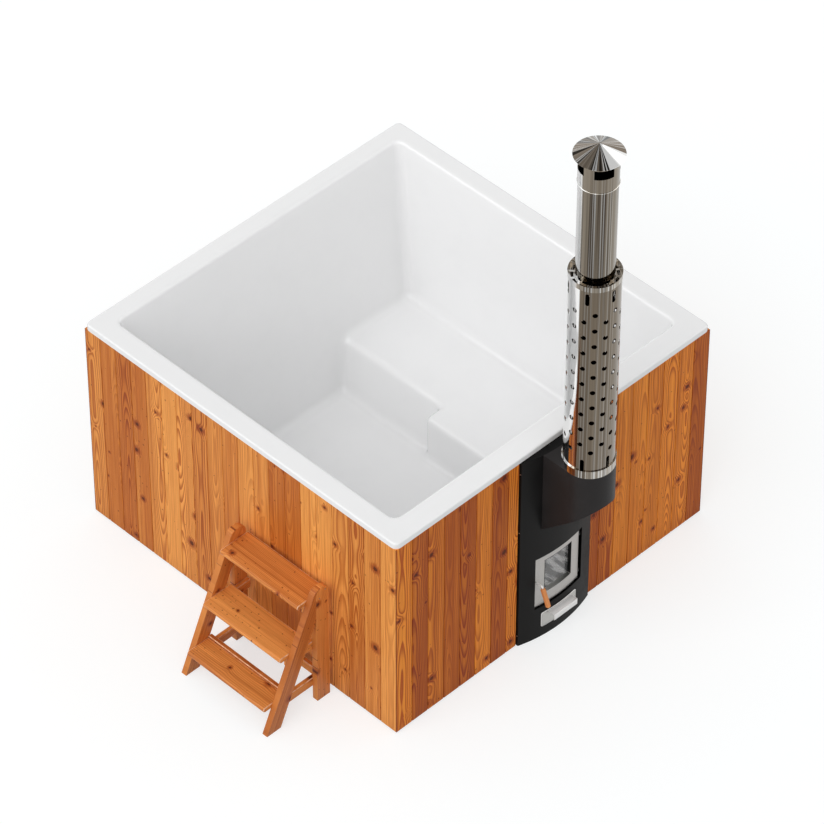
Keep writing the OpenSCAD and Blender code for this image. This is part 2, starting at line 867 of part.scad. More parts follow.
module panel_round(grow, z) {
    translate([0, panel_cy, z[0]]) cylinder(r = panel_r + grow, h = z[1] - z[0], $fn = fine);
}

screw_heights = [panel_lift + 56, flue_box_foot + 27, panel_top - 60];
screw_y = panel_edge_y + 5;
screw_shank_r = screw_r * 0.6;
screw_len = 10;
cut_left = -door_left - door_gap;
cut_right = door_right + hinge_gap;
module front_panel() {
    w = panel_w / 2;
    y = [panel_front_y - over, panel_edge_y];
    through = [panel_front_y - over, panel_edge_y + over];
    fold_y = panel_edge_y - panel_t / 10;
    color(black) difference() {
        union() {
            intersection() {
                difference() {
                    panel_round(0, [panel_lift, panel_top]);
                    panel_round(-panel_t, [panel_lift - over, panel_top - panel_t]);
                }
                block([-w, w], y, [panel_lift, panel_top]);
            }
            for (s = [-1, 1])
                block(s < 0 ? [-w, panel_t - w] : [w - panel_t, w], [fold_y, -frame_face - stove_gap],
                      [panel_lift, panel_top]);
            block([-w, w], [fold_y, -rim_half - 2], [panel_top - panel_t, panel_top]);
        }
        block([cut_left, cut_right], through, [door_z - stove_gap, door_top + stove_gap]);
        block([-ash_open_half, ash_open_half], through, [drawer_z + drawer_lap, drawer_top - drawer_lap]);
        duct_way(through);
        screw_ways(w);
    }
}

module panel_screws() {
    w = panel_w / 2;
    color(mirror_steel) for (s = [-1, 1], z = screw_heights) translate([s * w, screw_y, z])
        rotate([0, 90 * s, 0]) {
            cylinder(r = screw_r, h = screw_r * 0.6);
            translate([0, 0, -screw_len]) cylinder(r = screw_shank_r - tight_gap, h = screw_len + 1);
        }
}

// Flue

module flue_plan(inset) {
    translate([0, -flue_y]) circle(r = flue_box_r - inset, $fn = 128);
    w = flue_box_r - inset;
    translate([-w, -flue_y]) square([2 * w, flue_y + panel_edge_y]);
}

// Everything above the sloping underside, raised by dz
module above_slope(dz, top) {
    y0 = panel_edge_y;
    y1 = -flue_y - flue_box_r - over;
    z0 = flue_box_foot - (panel_edge_y - flank_y) * flue_box_slope + dz;
    z1 = z0 + (y0 - y1) * flue_box_slope;
    rotate([90, 0, 90]) translate([0, 0, -flue_box_r - over]) linear_extrude(2 * flue_box_r + 2 * over)
        polygon([[y0, z0], [y0, top], [y1, top], [y1, z1]]);
}

module flue_box() {
    low = flue_box_foot - 60;
    color(black) difference() {
        intersection() {
            translate([0, 0, low]) linear_extrude(wood_top - low) flue_plan(0);
            above_slope(0, wood_top + over);
        }
        intersection() {
            translate([0, 0, low]) linear_extrude(wood_top - low - flue_box_t) flue_plan(flue_box_t);
            above_slope(flue_box_t / cos(atan(flue_box_slope)), wood_top);
        }
        panel_round(seat_gap, [low - over, wood_top + over]);
        translate([0, -flue_y, wood_top - over]) cylinder(r = flue_wall_in - seat_gap, h = 2 * over);
    }
}

module flue_socket() {
    socket_t = 2;
    color(steel) translate([0, -flue_y, 0])
        pipe(flue_wall_in - 2 * seat_gap, socket_t, wood_top - 40, wood_top + 60);
}

module flue_pipe() {
    color(mirror_steel) translate([0, -flue_y, 0]) pipe(flue_r, flue_t, wood_top, pipe_end);
}

// A ring turned from the outline of its section, given as [radius, height] points
module ring(points) {
    translate([0, -flue_y, 0]) rotate_extrude() polygon(points);
}

module guard_base_ring() {
    r = guard_r + 5;
    t = guard_t;
    z0 = wood_top;
    z1 = wood_top + base_ring_h;
    color(mirror_steel) ring([
        [flue_r + seat_gap, z0], [r, z0], [r, z1], [guard_r + seat_gap, z1],
        [guard_r + seat_gap, z1 - t], [r - t, z1 - t], [r - t, guard_foot_z],
        [flue_r + seat_gap, guard_foot_z]
    ]);
}

module flue_guard() {
    color(mirror_steel) translate([0, -flue_y, 0]) difference() {
        pipe(guard_r, guard_t, guard_foot_z, guard_top);
        for (c = [0 : hole_columns - 1], k = [0 : hole_rows - 1 - c % 2])
            rotate([0, 0, first_column + c * 360 / hole_columns])
                guard_hole(hole_r, hole_z + (k + (c % 2) / 2) * hole_pitch);
        for (c = [0 : 5], z = [guard_foot_z + slot_low, guard_top - slot_high])
            rotate([0, 0, first_slot + 60 * c]) {
                block([guard_r - over - guard_t, guard_r + over], [-slot_w / 2, slot_w / 2],
                      [z + slot_w / 2, z + slot_len - slot_w / 2]);
                for (dz = [slot_w / 2, slot_len - slot_w / 2]) guard_hole(slot_w / 2, z + dz);
            }
    }
}

// A round hole through the guard's wall, on its +X side
module guard_hole(r, z) {
    translate([guard_r - over - guard_t, 0, z]) rotate([0, 90, 0])
        cylinder(r = r, h = 2 * over + guard_t, $fn = 24);
}

module guard_top_ring() {
    r = guard_r + 2.5;
    foot = guard_top - 3;
    window_in = flue_r + 5;
    window_out = window_in + 12;
    color(mirror_steel) difference() {
        ring([
            [flue_r + seat_gap, guard_top], [guard_r + seat_gap, guard_top],
            [guard_r + seat_gap, foot], [r, foot], [r, foot + top_ring_h],
            [r - guard_t, foot + top_ring_h], [r - guard_t, guard_top + guard_t],
            [flue_r + seat_gap, guard_top + guard_t]
        ]);
        for (c = [0 : ring_windows - 1]) translate([0, -flue_y, guard_top - over])
            rotate([0, 0, c * 360 / ring_windows]) rotate_extrude(angle = 260 / ring_windows)
                translate([window_in, 0]) square([window_out - window_in, 2 * over]);
    }
}

module cap_collar() {
    r = flue_r + seat_gap + cap_t;
    top = cone_z + (cone_r - r) * cone_drop - cap_t - seat_gap;
    color(mirror_steel) translate([0, -flue_y, 0]) difference() {
        pipe(r, cap_t, pipe_end - cap_z, top);
        for (c = [0 : 3]) rotate([0, 0, first_cap_window - cap_window_angle / 2 + 90 * c])
            rotate_extrude(angle = cap_window_angle)
                translate([r - over, cone_z - cap_window_drop - cap_window_h])
                    square([2 * over, cap_window_h]);
    }
}

module cap_cone() {
    color(mirror_steel) ring([
        [0, cone_z + cone_h], [cone_r, cone_z], [cone_r, cone_z - cap_t], [0, cone_z + cone_h - cap_t]
    ]);
}

// Door

window_x = [window_mid_x - window_w / 2, window_mid_x + window_w / 2];
window_z = [window_mid_z - window_h / 2, window_mid_z + window_h / 2];

module door_frame() {
    x = [-door_left, door_right];
    z = [door_z, door_top];
    front = panel_front_y - over;
    glass_seat = glass_lap + 3;
    arm = hinge_barrel - 1;
    color(steel) difference() {
        union() {
            difference() {
                intersection() {
                    panel_round(-door_recess, z);
                    block(x, [front, door_back_y], z);
                }
                difference() {
                    intersection() {
                        panel_round(-door_recess - door_t, [z[0] + door_t, z[1] - door_t]);
                        block([x[0] + door_t, x[1] - door_t], [front, door_back_y + over], [z[0], z[1]]);
                    }
                    block([window_x[0] - glass_seat, window_x[1] + glass_seat], [front, glass_y + 6],
                          [window_z[0] - glass_seat, window_z[1] + glass_seat]);
                    block([x[0], x[0] + 18], [front, door_back_y], [latch_z - 12, latch_z + 12]);
                    difference() {
                        block([x[0], x[1]], [door_back_y - 3, door_back_y], z);
                        block([x[0] + gasket_inset + gasket_w, x[1] - gasket_inset - gasket_w],
                              [front, door_back_y + over],
                              [z[0] + gasket_inset + gasket_w, z[1] - gasket_inset - gasket_w]);
                    }
                }
            }
            for (z = [hinge_low_z, hinge_high_z]) translate([0, 0, z + hinge_lug_h + seat_gap]) {
                block([door_right - arm, hinge_x], [hinge_y - arm, hinge_y + arm], [0, hinge_lug_h]);
                translate([hinge_x, hinge_y, 0]) cylinder(r = hinge_barrel, h = hinge_lug_h);
            }
        }
        hull() {
            block(window_x, [front, front + 1], window_z);
            block([window_x[0] + window_bevel, window_x[1] - window_bevel], [glass_y + 1, glass_y + 2],
                  [window_z[0] + window_bevel, window_z[1] - window_bevel]);
        }
        block([window_x[0] - glass_lap, window_x[1] + glass_lap],
              [glass_y - glass_t - seat_gap, door_back_y + over],
              [window_z[0] - glass_lap, window_z[1] + glass_lap]);
        bar_y(latch_x, latch_z, latch_rod_r + pin_clearance, front, door_back_y + over);
        for (z = [hinge_low_z, hinge_high_z]) translate([hinge_x, hinge_y, z])
            cylinder(r = hinge_pin_r + tight_gap, h = 3 * hinge_lug_h);
    }
}

glass_play = 0.5;
glass_x = [window_x[0] - glass_lap + glass_play, window_x[1] + glass_lap - glass_play];
glass_z = [window_z[0] - glass_lap + glass_play, window_z[1] + glass_lap - glass_play];

module door_glass() {
    color([0.16, 0.17, 0.18, 0.6]) block(glass_x, [glass_y - glass_t, glass_y], glass_z);
}

module glass_retainer() {
    t = 3;
    color(steel) difference() {
        block(glass_x, [glass_y, glass_y + t], glass_z);
        block([window_x[0] + 2, window_x[1] - 2], [glass_y - over, glass_y + t + over],
              [window_z[0] + 2, window_z[1] - 2]);
    }
}

module door_gasket() {
    a = gasket_inset;
    b = gasket_inset + gasket_w;
    color("#d8d4c8") difference() {
        block([a - door_left, door_right - a], [door_back_y, plate_front_y], [door_z + a, door_top - a]);
        block([b - door_left, door_right - b], [door_back_y - over, plate_front_y + over],
              [door_z + b, door_top - b]);
    }
}

module hinge_pins() {
    color(steel) for (z = [hinge_low_z, hinge_high_z]) translate([hinge_x, hinge_y, z - 2]) {
        cylinder(r = hinge_pin_r, h = 2 * hinge_lug_h + 4);
        translate([0, 0, 2 * hinge_lug_h + 2 + 2 * seat_gap])
            cylinder(r = hinge_pin_r * 1.5, h = hinge_pin_r * 0.8);
    }
}

// Latch

// The rod leaves the door, bends down and enters the grip, which leans out
module latch_rod() {
    color(steel) translate([latch_x, 0, latch_z]) {
        translate([0, -rod_out_y, 0]) rotate([-90, 0, 0])
            cylinder(r = latch_rod_r, h = rod_out_y + tongue_y);
        translate([0, -rod_out_y, -latch_bend]) {
            rotate([180, -90, 0]) rotate_extrude(angle = 90 - grip_tilt)
                translate([latch_bend, 0]) circle(r = latch_rod_r);
            rotate([-grip_tilt, 0, 0]) translate([0, -latch_bend, -grip_len * 0.5])
                cylinder(r = latch_rod_r, h = grip_len * 0.5);
        }
        block([-tongue_w / 2, tongue_w / 2], [tongue_y - tongue_t, tongue_y], [-tongue_len, tongue_w / 2]);
    }
}

module latch_grip() {
    end = 4;
    end_r = grip_r - 3;
    color(wood) translate([latch_x, -rod_out_y, latch_z - latch_bend]) rotate([-grip_tilt, 0, 0])
        translate([0, -latch_bend, 0]) difference() {
            translate([0, 0, -grip_len - 2]) union() {
                translate([0, 0, end]) cylinder(r = grip_r, h = grip_len - 2 * end);
                cylinder(r1 = end_r, r2 = grip_r, h = end);
                translate([0, 0, grip_len - end]) cylinder(r1 = grip_r, r2 = end_r, h = end);
            }
            translate([0, 0, -grip_len * 0.5 - 1]) cylinder(r = latch_rod_r + tight_gap, h = grip_len);
        }
}

// Ash drawer

module tray_plan(inset) {
    w = tray_w / 2 - inset;
    intersection() {
        translate([-w, panel_front_y]) square([2 * w, panel_bulge + tray_len - inset]);
        translate([0, panel_cy]) circle(r = panel_r - inset, $fn = fine);
    }
}

module ash_tray() {
    color(iron) difference() {
        translate([0, 0, tray_z]) linear_extrude(tray_top - tray_z) tray_plan(0);
        translate([0, 0, tray_z + tray_t]) linear_extrude(tray_top - tray_z) tray_plan(tray_t);
    }
}

module drawer_front() {
    w = drawer_w / 2;
    r = 10;
    color(steel) intersection() {
        difference() {
            panel_round(seat_gap + drawer_t, [drawer_z, drawer_top]);
            panel_round(seat_gap, [drawer_z - over, drawer_top + over]);
        }
        translate([0, panel_edge_y, 0]) rotate([90, 0, 0]) linear_extrude(3 * panel_bulge) {
            translate([-w + r, drawer_z]) square([2 * w - 2 * r, drawer_top - drawer_z]);
            translate([-w, drawer_z + r]) square([2 * w, drawer_top - drawer_z - 2 * r]);
            for (x = [-w + r, w - r], z = [drawer_z + r, drawer_top - r]) translate([x, z]) circle(r = r);
        }
    }
}

module drawer_pull() {
    w = pull_w / 2;
    z = drawer_top - 4;
    t = 2;
    out = panel_front_y - drawer_t - pull_out;
    color(steel) difference() {
        union() {
            block([-w, w], [out, panel_edge_y], [z - t, z]);
            block([-w, w], [out, out + t], [z - pull_lip, z]);
        }
        panel_round(seat_gap + drawer_t, [drawer_z, drawer_top + over]);
    }
}

// Steps. The side frames stand in two planes, and everything else lies between them.

side_y = [-steps_y, -steps_y + steps_w - frame_t];
tread_y = [-steps_y + frame_t, -steps_y + steps_w - frame_t];

// Outline of a stringer in x and z
module stringer_outline() {
    intersection() {
        union() {
            translate([stringer_foot_x, 0]) rotate(-stringer_angle)
                translate([-leg_w / 2, -leg_w])
                    square([leg_w, frame_h / cos(stringer_angle) + leg_w / 2]);
            translate([stringer_foot_x + (frame_h - leg_w / 2) * tan(stringer_angle), frame_h - leg_w / 2])
                circle(r = leg_w / 2);
        }
        translate([-2 * tub_side, 0]) square([3 * tub_side, frame_h]);
    }
}

module leg_outline() {
    translate([steps_x - leg_w, 0]) square([leg_w, frame_h - leg_w / 2]);
    translate([steps_x - leg_w / 2, frame_h - leg_w / 2]) circle(r = leg_w / 2);
}

module upright_sheet(y, t) {
    translate([0, y + t, 0]) rotate([90, 0, 0]) linear_extrude(t) children();
}

// The two cross in a half lap: the leg keeps the outer half and the stringer the inner half
module step_stringers() {
    lap = frame_t / 2;
    color(wood_dark) for (s = [0, 1]) difference() {
        upright_sheet(side_y[s], frame_t) stringer_outline();
        upright_sheet(side_y[s] + (s == 0 ? -over : lap), lap + over) leg_outline();
    }
}

module step_legs() {
    lap = frame_t / 2;
    color(wood_dark) for (s = [0, 1]) difference() {
        upright_sheet(side_y[s], frame_t) leg_outline();
        upright_sheet(side_y[s] + (s == 0 ? lap : -over), lap + over) stringer_outline();
    }
}

// Front edge of the stringer at a height
function stringer_front(z) = stringer_foot_x + z * tan(stringer_angle) - leg_w / 2 / cos(stringer_angle);
function tread_front(z) = stringer_front(z) - nosing;

module tread(z, d) {
    x = tread_front(z);
    r = tread_t / 2;
    color(wood) upright_sheet(tread_y[0], tread_y[1] - tread_y[0]) {
        translate([x + r, z - tread_t]) square([d - r, tread_t]);
        translate([x + r, z - r]) circle(r = r);
    }
}
module step_tread_top() { tread(top_tread_z, tread_d); }
module step_tread_middle() { tread(tread_2, tread_d); }
module step_tread_bottom() { tread(tread_3, tread_low_d); }

// The rail that closes the bottom tread at the back stands a little above it
low_back = tread_front(tread_3) + tread_low_d;
back_rail_top = tread_3 + 9;
rear_rail_x = steps_x - leg_w * 0.4;
low_rail = [low_rail_z, low_rail_z + cleat_h];
rail_inner_y = [tread_y[0] + cleat_t, tread_y[1] - cleat_t];

// Rails on the inner faces of the side frames: the two upper treads rest on theirs
module step_side_rails() {
    color(wood_dark) for (s = [0, 1]) {
        y = s == 0 ? [tread_y[0], rail_inner_y[0]] : [rail_inner_y[1], tread_y[1]];
        for (under = [top_tread_z - tread_t, tread_2 - tread_t])
            block([stringer_front(under - cleat_h) + leg_w * 0.3, steps_x], y, [under - cleat_h, under]);
        block([low_back + cleat_t, steps_x], y, low_rail);
    }
}

module step_cross_rails() {
    color(wood_dark) {
        block([low_back, low_back + cleat_t], tread_y, [back_rail_top - cleat_h, back_rail_top]);
        block([rear_rail_x, rear_rail_x + cleat_t], rail_inner_y, low_rail);
    }
}

module step_screws() {
    head_r = 3.5;
    color(mirror_steel) for (s = [0, 1], dx = [-16, 16])
        translate([steps_x - leg_w / 2 + dx, side_y[s] + (s == 0 ? 0 : frame_t), frame_h - leg_w / 2 + dx])
            rotate([s == 0 ? 90 : -90, 0, 0]) cylinder(r = head_r, h = 1);
}

shell();
cladding_left();
cladding_right();
cladding_back();
cladding_front_left();
cladding_front_right();
corner_posts();
middle_posts();
stove_posts();
rails_left();
rails_right();
rails_back();
rails_front();
floor_bearers();
seat_supports();
drain_flange();
drain_pipe();
drain_valve();
drain_ball();
drain_lever();
water_jacket();
firebox();
fire_grate();
stove_feet();
stove_front();
smoke_duct();
intake_fitting();
return_fitting();
hinge_brackets();
latch_keeper();
drawer_guides();
front_panel();
panel_screws();
flue_box();
flue_socket();
flue_pipe();
guard_base_ring();
flue_guard();
guard_top_ring();
cap_collar();
cap_cone();
door_frame();
door_glass();
glass_retainer();
door_gasket();
hinge_pins();
latch_rod();
latch_grip();
ash_tray();
drawer_front();
drawer_pull();
step_stringers();
step_legs();
step_tread_top();
step_tread_middle();
step_tread_bottom();
step_side_rails();
step_cross_rails();
step_screws();
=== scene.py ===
import math

import bmesh
import bpy
import numpy as np
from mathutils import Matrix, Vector


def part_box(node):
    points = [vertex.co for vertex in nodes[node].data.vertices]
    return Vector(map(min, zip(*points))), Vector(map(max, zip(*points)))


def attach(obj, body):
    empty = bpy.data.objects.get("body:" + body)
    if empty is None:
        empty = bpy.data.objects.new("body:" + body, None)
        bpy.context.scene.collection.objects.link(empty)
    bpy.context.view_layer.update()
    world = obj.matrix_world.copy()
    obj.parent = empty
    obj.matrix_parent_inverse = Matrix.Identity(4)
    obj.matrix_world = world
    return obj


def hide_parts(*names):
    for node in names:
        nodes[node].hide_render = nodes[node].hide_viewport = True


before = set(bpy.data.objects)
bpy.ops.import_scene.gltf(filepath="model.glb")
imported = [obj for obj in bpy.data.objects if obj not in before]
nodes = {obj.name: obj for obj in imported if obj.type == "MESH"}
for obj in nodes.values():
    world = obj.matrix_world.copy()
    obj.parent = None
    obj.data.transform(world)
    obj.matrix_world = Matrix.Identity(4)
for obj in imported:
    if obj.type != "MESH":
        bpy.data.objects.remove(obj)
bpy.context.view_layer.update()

# Places that the looks follow, in metres, taken from the frame where it gives them
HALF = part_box("cladding_left")[1].y
BOARD_COUNT = 20
BOARD_WIDTH = 2 * HALF / BOARD_COUNT
WOOD_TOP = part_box("cladding_left")[1].z
RIM_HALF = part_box("shell")[1].x
RIM_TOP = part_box("shell")[1].z
FLUE_Y = (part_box("flue_pipe")[0].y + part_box("flue_pipe")[1].y) / 2
STRINGER_LEAN = math.radians(23.9)
GLASS_LAP = 0.0105
WINDOW_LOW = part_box("door_glass")[0] + Vector((GLASS_LAP, 0, GLASS_LAP))
WINDOW_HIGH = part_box("door_glass")[1] - Vector((GLASS_LAP, 0, GLASS_LAP))

# The shell's wet side, as part.scad has it
OPEN_LEFT, OPEN_RIGHT = -0.800, 0.811
OPEN_FRONT, OPEN_BACK = -0.792, 0.817
DRAFT_LEFT, DRAFT_RIGHT = 0.104, 0.145
DRAFT_FRONT, DRAFT_BACK = 0.062, 0.239
FLOOR_TOP = 0.130
CORNER_R = 0.035
SEAT_TOP = 0.357
SEAT_FRONT = 0.316
SEAT_LEAN = 0.291
WIDE_SEAT_FRONT, WIDE_SEAT_BACK = 0.222, 0.061
BLOCK_HALF, BLOCK_BACK, BLOCK_TOP = 0.262, -0.450, 0.590
SEAT_R = 0.025
SKIN = 0.006
RIM_CORNER_R = 0.025
RIM_ROUND = 0.008
LIP_R = 0.014
FILLET = 0.034
HOLE_R = 0.026
DRAIN = (-0.405, -0.500)
WATER_HOLES_Z = (0.190, 0.490)


# Shader graphs

class Graph:
    """A shader tree being filled. Each method adds a node and gives its output socket."""

    def __init__(self, tree):
        self.tree = tree

    def node(self, kind, inputs=None, output=0, **settings):
        made = self.tree.nodes.new(kind)
        for name, value in settings.items():
            setattr(made, name, value)
        for name, value in (inputs or {}).items():
            socket = made.inputs[name]
            if isinstance(value, bpy.types.NodeSocket):
                self.tree.links.new(value, socket)
            else:
                socket.default_value = value
        return made.outputs[output]

    def math(self, operation, a, b=0.0, c=0.0):
        return self.node("ShaderNodeMath", {0: a, 1: b, 2: c}, operation=operation)

    def add(self, a, b):
        return self.math("ADD", a, b)

    def sub(self, a, b):
        return self.math("SUBTRACT", a, b)

    def mul(self, a, b):
        return self.math("MULTIPLY", a, b)

    def smooth(self, value, low, high, to_low=0.0, to_high=1.0):
        places = {"Value": value, "From Min": low, "From Max": high, "To Min": to_low, "To Max": to_high}
        return self.node("ShaderNodeMapRange", places, interpolation_type="SMOOTHSTEP")

    def mix(self, amount, a, b, blend="MIX"):
        return self.node("ShaderNodeMix", {0: amount, 6: a, 7: b}, output=2, data_type="RGBA",
                         blend_type=blend)

    def tinted(self, colour, tint, amount):
        return self.mix(amount, colour, self.mix(1.0, colour, tint, "MULTIPLY"))

    def vector(self, x, y, z=0.0):
        return self.node("ShaderNodeCombineXYZ", {0: x, 1: y, 2: z})

    def split(self, vector):
        made = self.node("ShaderNodeSeparateXYZ", {0: vector}).node
        return made.outputs[0], made.outputs[1], made.outputs[2]

    def noise(self, vector, scale=1.0, detail=2.0, roughness=0.5):
        return self.node("ShaderNodeTexNoise", {"Vector": vector, "Scale": scale, "Detail": detail,
                                                "Roughness": roughness})

    def chances(self, number):
        colour = self.node("ShaderNodeTexWhiteNoise", {"W": number}, output="Color",
                           noise_dimensions="1D")
        return self.split(colour)

    def place(self):
        return self.node("ShaderNodeTexCoord", output="Object")

    def group(self, tree, inputs):
        made = self.node("ShaderNodeGroup", node_tree=tree).node
        for name, value in inputs.items():
            if isinstance(value, bpy.types.NodeSocket):
                self.tree.links.new(value, made.inputs[name])
            else:
                made.inputs[name].default_value = value
        return made.outputs


def make_group(name, inputs, outputs, fill):
    """A node group: inputs are (label, kind, default), outputs (label, kind), and fill builds it."""
    tree = bpy.data.node_groups.new(name, "ShaderNodeTree")
    for label, kind, default in inputs:
        socket = tree.interface.new_socket(label, in_out="INPUT", socket_type="NodeSocket" + kind)
        socket.default_value = default
    for label, kind in outputs:
        tree.interface.new_socket(label, in_out="OUTPUT", socket_type="NodeSocket" + kind)
    start = tree.nodes.new("NodeGroupInput")
    end = tree.nodes.new("NodeGroupOutput")
    for label, socket in fill(Graph(tree), start.outputs).items():
        tree.links.new(socket, end.inputs[label])
    return tree


def material(name, fill, **plain):
    """A material around one Principled shader. plain sets its sockets, and fill returns linked ones."""
    made = bpy.data.materials.new(name)
    made.use_nodes = True
    graph = Graph(made.node_tree)
    shader = made.node_tree.nodes["Principled BSDF"]
    for label, value in plain.items():
        shader.inputs[label.replace("_", " ")].default_value = value
    for label, socket in fill(graph).items():
        made.node_tree.links.new(socket, shader.inputs[label])
    return made


def bump(graph, height, distance, strength=1.0):
    return graph.node("ShaderNodeBump", {"Height": height, "Distance": distance, "Strength": strength})


def rgb(red, green, blue):
    return (red, green, blue, 1.0)


# Larch grain, shared by the boards, the steps and the grip

KNOT_CELLS, PIN_CELLS = 7.0, 34.0      # cells a metre of the two knot patterns
KNOT_LEAST_R, KNOT_SPREAD_R = 0.0035, 0.0105
PIN_LEAST_R, PIN_SPREAD_R = 0.0022, 0.0034
RING_LEAST, RING_SPREAD = 0.0052, 0.0050
RING_PUSH = 0.013                      # how far a knot pushes the rings aside, in metres
BAND_TINT = rgb(0.66, 0.46, 0.32)
RING_TINT = rgb(0.50, 0.26, 0.13)
FIBRE_TINT = rgb(0.58, 0.38, 0.25)
GLEAM_TINT = rgb(1.38, 1.42, 1.45)
HALO_TINT = rgb(0.48, 0.21, 0.10)
PIN_TINT = rgb(0.26, 0.11, 0.06)
KNOT_BROWN = rgb(0.075, 0.018, 0.006)


def fill_larch(g, given):
    """A flat-sawn board: rings cut by a plane beside the heart, knots that push them, and fibres."""
    along, across, board = given["Along"], given["Across"], given["Board"]
    heart, lean, tone = g.chances(board)
    shift, pitch_chance, depth_chance = g.chances(g.add(board, 31.7))
    run = g.add(along, g.mul(shift, 9.0))

    # Knots: a few cells of a wide pattern, their outlines uneven
    unevenness = g.noise(g.vector(g.mul(run, 55.0), g.mul(across, 55.0), board), 1.0, 2.0)
    stir = g.mul(g.sub(unevenness, 0.5), 0.012)
    knot_place = g.vector(g.add(run, stir), g.add(g.add(across, stir), g.mul(board, 1.31)))
    cell = g.node("ShaderNodeTexVoronoi", {"Vector": knot_place, "Scale": KNOT_CELLS},
                  output="Distance", voronoi_dimensions="2D")
    knot_kind, knot_size, _ = g.split(cell.node.outputs["Color"])
    chosen = g.math("LESS_THAN", knot_kind, given["Knots"])
    knot_gap = g.math("DIVIDE", cell, KNOT_CELLS)
    knot_r = g.add(KNOT_LEAST_R, g.mul(g.math("POWER", knot_size, 1.5), KNOT_SPREAD_R))
    knot_share = g.math("DIVIDE", knot_gap, knot_r)
    core = g.mul(g.smooth(knot_share, 1.10, 0.60), chosen)
    halo = g.mul(g.smooth(knot_share, 3.0, 1.0), chosen)
    push = g.mul(g.math("EXPONENT", g.mul(g.math("POWER", g.mul(knot_gap, 34.0), 2.0), -1.0)), chosen)

    # Pin knots: small dark flecks in loose clusters
    pin_cell = g.node("ShaderNodeTexVoronoi", {"Vector": knot_place, "Scale": PIN_CELLS},
                      output="Distance", voronoi_dimensions="2D")
    pin_kind, pin_size, _ = g.split(pin_cell.node.outputs["Color"])
    cluster = g.smooth(g.noise(knot_place, 6.0, 1.0), 0.46, 0.60)
    pins = g.math("LESS_THAN", pin_kind, g.mul(given["Pins"], cluster))
    pin_r = g.add(PIN_LEAST_R, g.mul(pin_size, PIN_SPREAD_R))
    pin = g.mul(g.smooth(g.math("DIVIDE", pin_cell, PIN_CELLS), pin_r, 0.0012), pins)

    # Rings: distance from a heart that wanders beside and behind the board's face
    wander = g.sub(g.noise(g.vector(g.mul(run, 2.2), g.mul(across, 7.0), board), 1.0, 2.0), 0.5)
    side = g.add(g.sub(across, g.add(BOARD_WIDTH / 2, g.mul(g.sub(heart, 0.5), 0.08))),
                 g.mul(wander, 0.024))
    bow = g.mul(g.sub(g.noise(g.vector(g.mul(run, 1.7), board), 1.0, 1.0), 0.5), 0.07)
    cut = g.add(g.add(g.add(0.004, g.mul(depth_chance, 0.040)), bow),
                g.mul(g.mul(g.sub(lean, 0.5), 0.10), g.sub(along, 0.45)))
    radius = g.math("SQRT", g.add(g.math("POWER", side, 2.0), g.math("POWER", cut, 2.0)))
    radius = g.add(radius, g.mul(push, RING_PUSH))
    pitch = g.add(RING_LEAST, g.mul(pitch_chance, RING_SPREAD))
    ring = g.math("FRACT", g.math("DIVIDE", radius, pitch))
    late = g.mul(g.smooth(ring, 0.25, 0.88), g.smooth(ring, 1.0, 0.92))

    # Tone: whole boards differ, and long streaks and fibres lie in each
    fibre = g.noise(g.vector(g.mul(run, 6.0), g.mul(across, 430.0), board), 1.0, 3.0, 0.6)
    streak = g.noise(g.vector(g.mul(run, 0.9), g.mul(across, 34.0), board), 1.0, 3.0, 0.6)
    band = g.noise(g.vector(g.mul(run, 0.5), g.mul(across, 95.0), g.add(board, 7.0)), 1.0, 2.0, 0.5)
    share = g.add(g.mul(tone, 0.95), g.mul(g.sub(streak, 0.5), 1.25))
    colour = g.mix(g.smooth(share, -0.05, 1.05), given["Pale"], given["Deep"])
    colour = g.tinted(colour, BAND_TINT, g.mul(g.smooth(band, 0.50, 0.74), 0.70))
    figured = g.smooth(g.math("FRACT", g.mul(depth_chance, 7.3)), 0.20, 0.85, 0.35, 0.95)
    colour = g.tinted(colour, RING_TINT, g.mul(g.mul(late, figured), given["Rings"]))
    colour = g.tinted(colour, FIBRE_TINT, g.mul(g.smooth(fibre, 0.42, 0.72), 0.34))
    colour = g.tinted(colour, GLEAM_TINT, g.mul(g.smooth(fibre, 0.50, 0.26), 0.36))
    colour = g.tinted(colour, HALO_TINT, g.mul(halo, 0.80))
    colour = g.tinted(colour, PIN_TINT, g.mul(pin, 0.90))
    colour = g.mix(g.mul(core, 0.88), colour, given["Knot"])
    height = g.add(g.mul(fibre, 0.5), g.add(g.mul(late, 0.35), g.mul(core, -0.8)))
    gloss = g.add(0.42, g.add(g.mul(fibre, 0.16), g.mul(core, 0.12)))
    return {"Colour": colour, "Height": height, "Roughness": gloss}


larch_group = make_group(
    "larch_grain",
    [("Along", "Float", 0.0), ("Across", "Float", 0.0), ("Board", "Float", 0.0),
     ("Pale", "Color", rgb(0.6, 0.3, 0.1)), ("Deep", "Color", rgb(0.4, 0.14, 0.04)),
     ("Knot", "Color", KNOT_BROWN), ("Knots", "Float", 0.3), ("Pins", "Float", 0.1),
     ("Rings", "Float", 1.0)],
    [("Colour", "Color"), ("Height", "Float"), ("Roughness", "Float")],
    fill_larch,
)


def larch(g, along, across, board, pale, deep, knots=0.40, pins=0.16, rings=1.0):
    """The links of a larch surface that runs along and across the given places.

    knots and pins are the shares of cells that hold one, and rings is the strength of the rings.
    """
    wood = g.group(larch_group, {"Along": along, "Across": across, "Board": board, "Pale": pale,
                                 "Deep": deep, "Knots": knots, "Knot": KNOT_BROWN,
                                 "Pins": pins, "Rings": rings})
    return {"Base Color": wood["Colour"], "Roughness": wood["Roughness"],
            "Normal": bump(g, wood["Height"], 0.0006, 0.8)}


SEAM_AND_CORNER_SHADE, SEAM_WIDTH = rgb(0.42, 0.26, 0.18), 0.0018
SPLASH, SPLASH_HEIGHT = rgb(0.70, 0.62, 0.56), 0.10


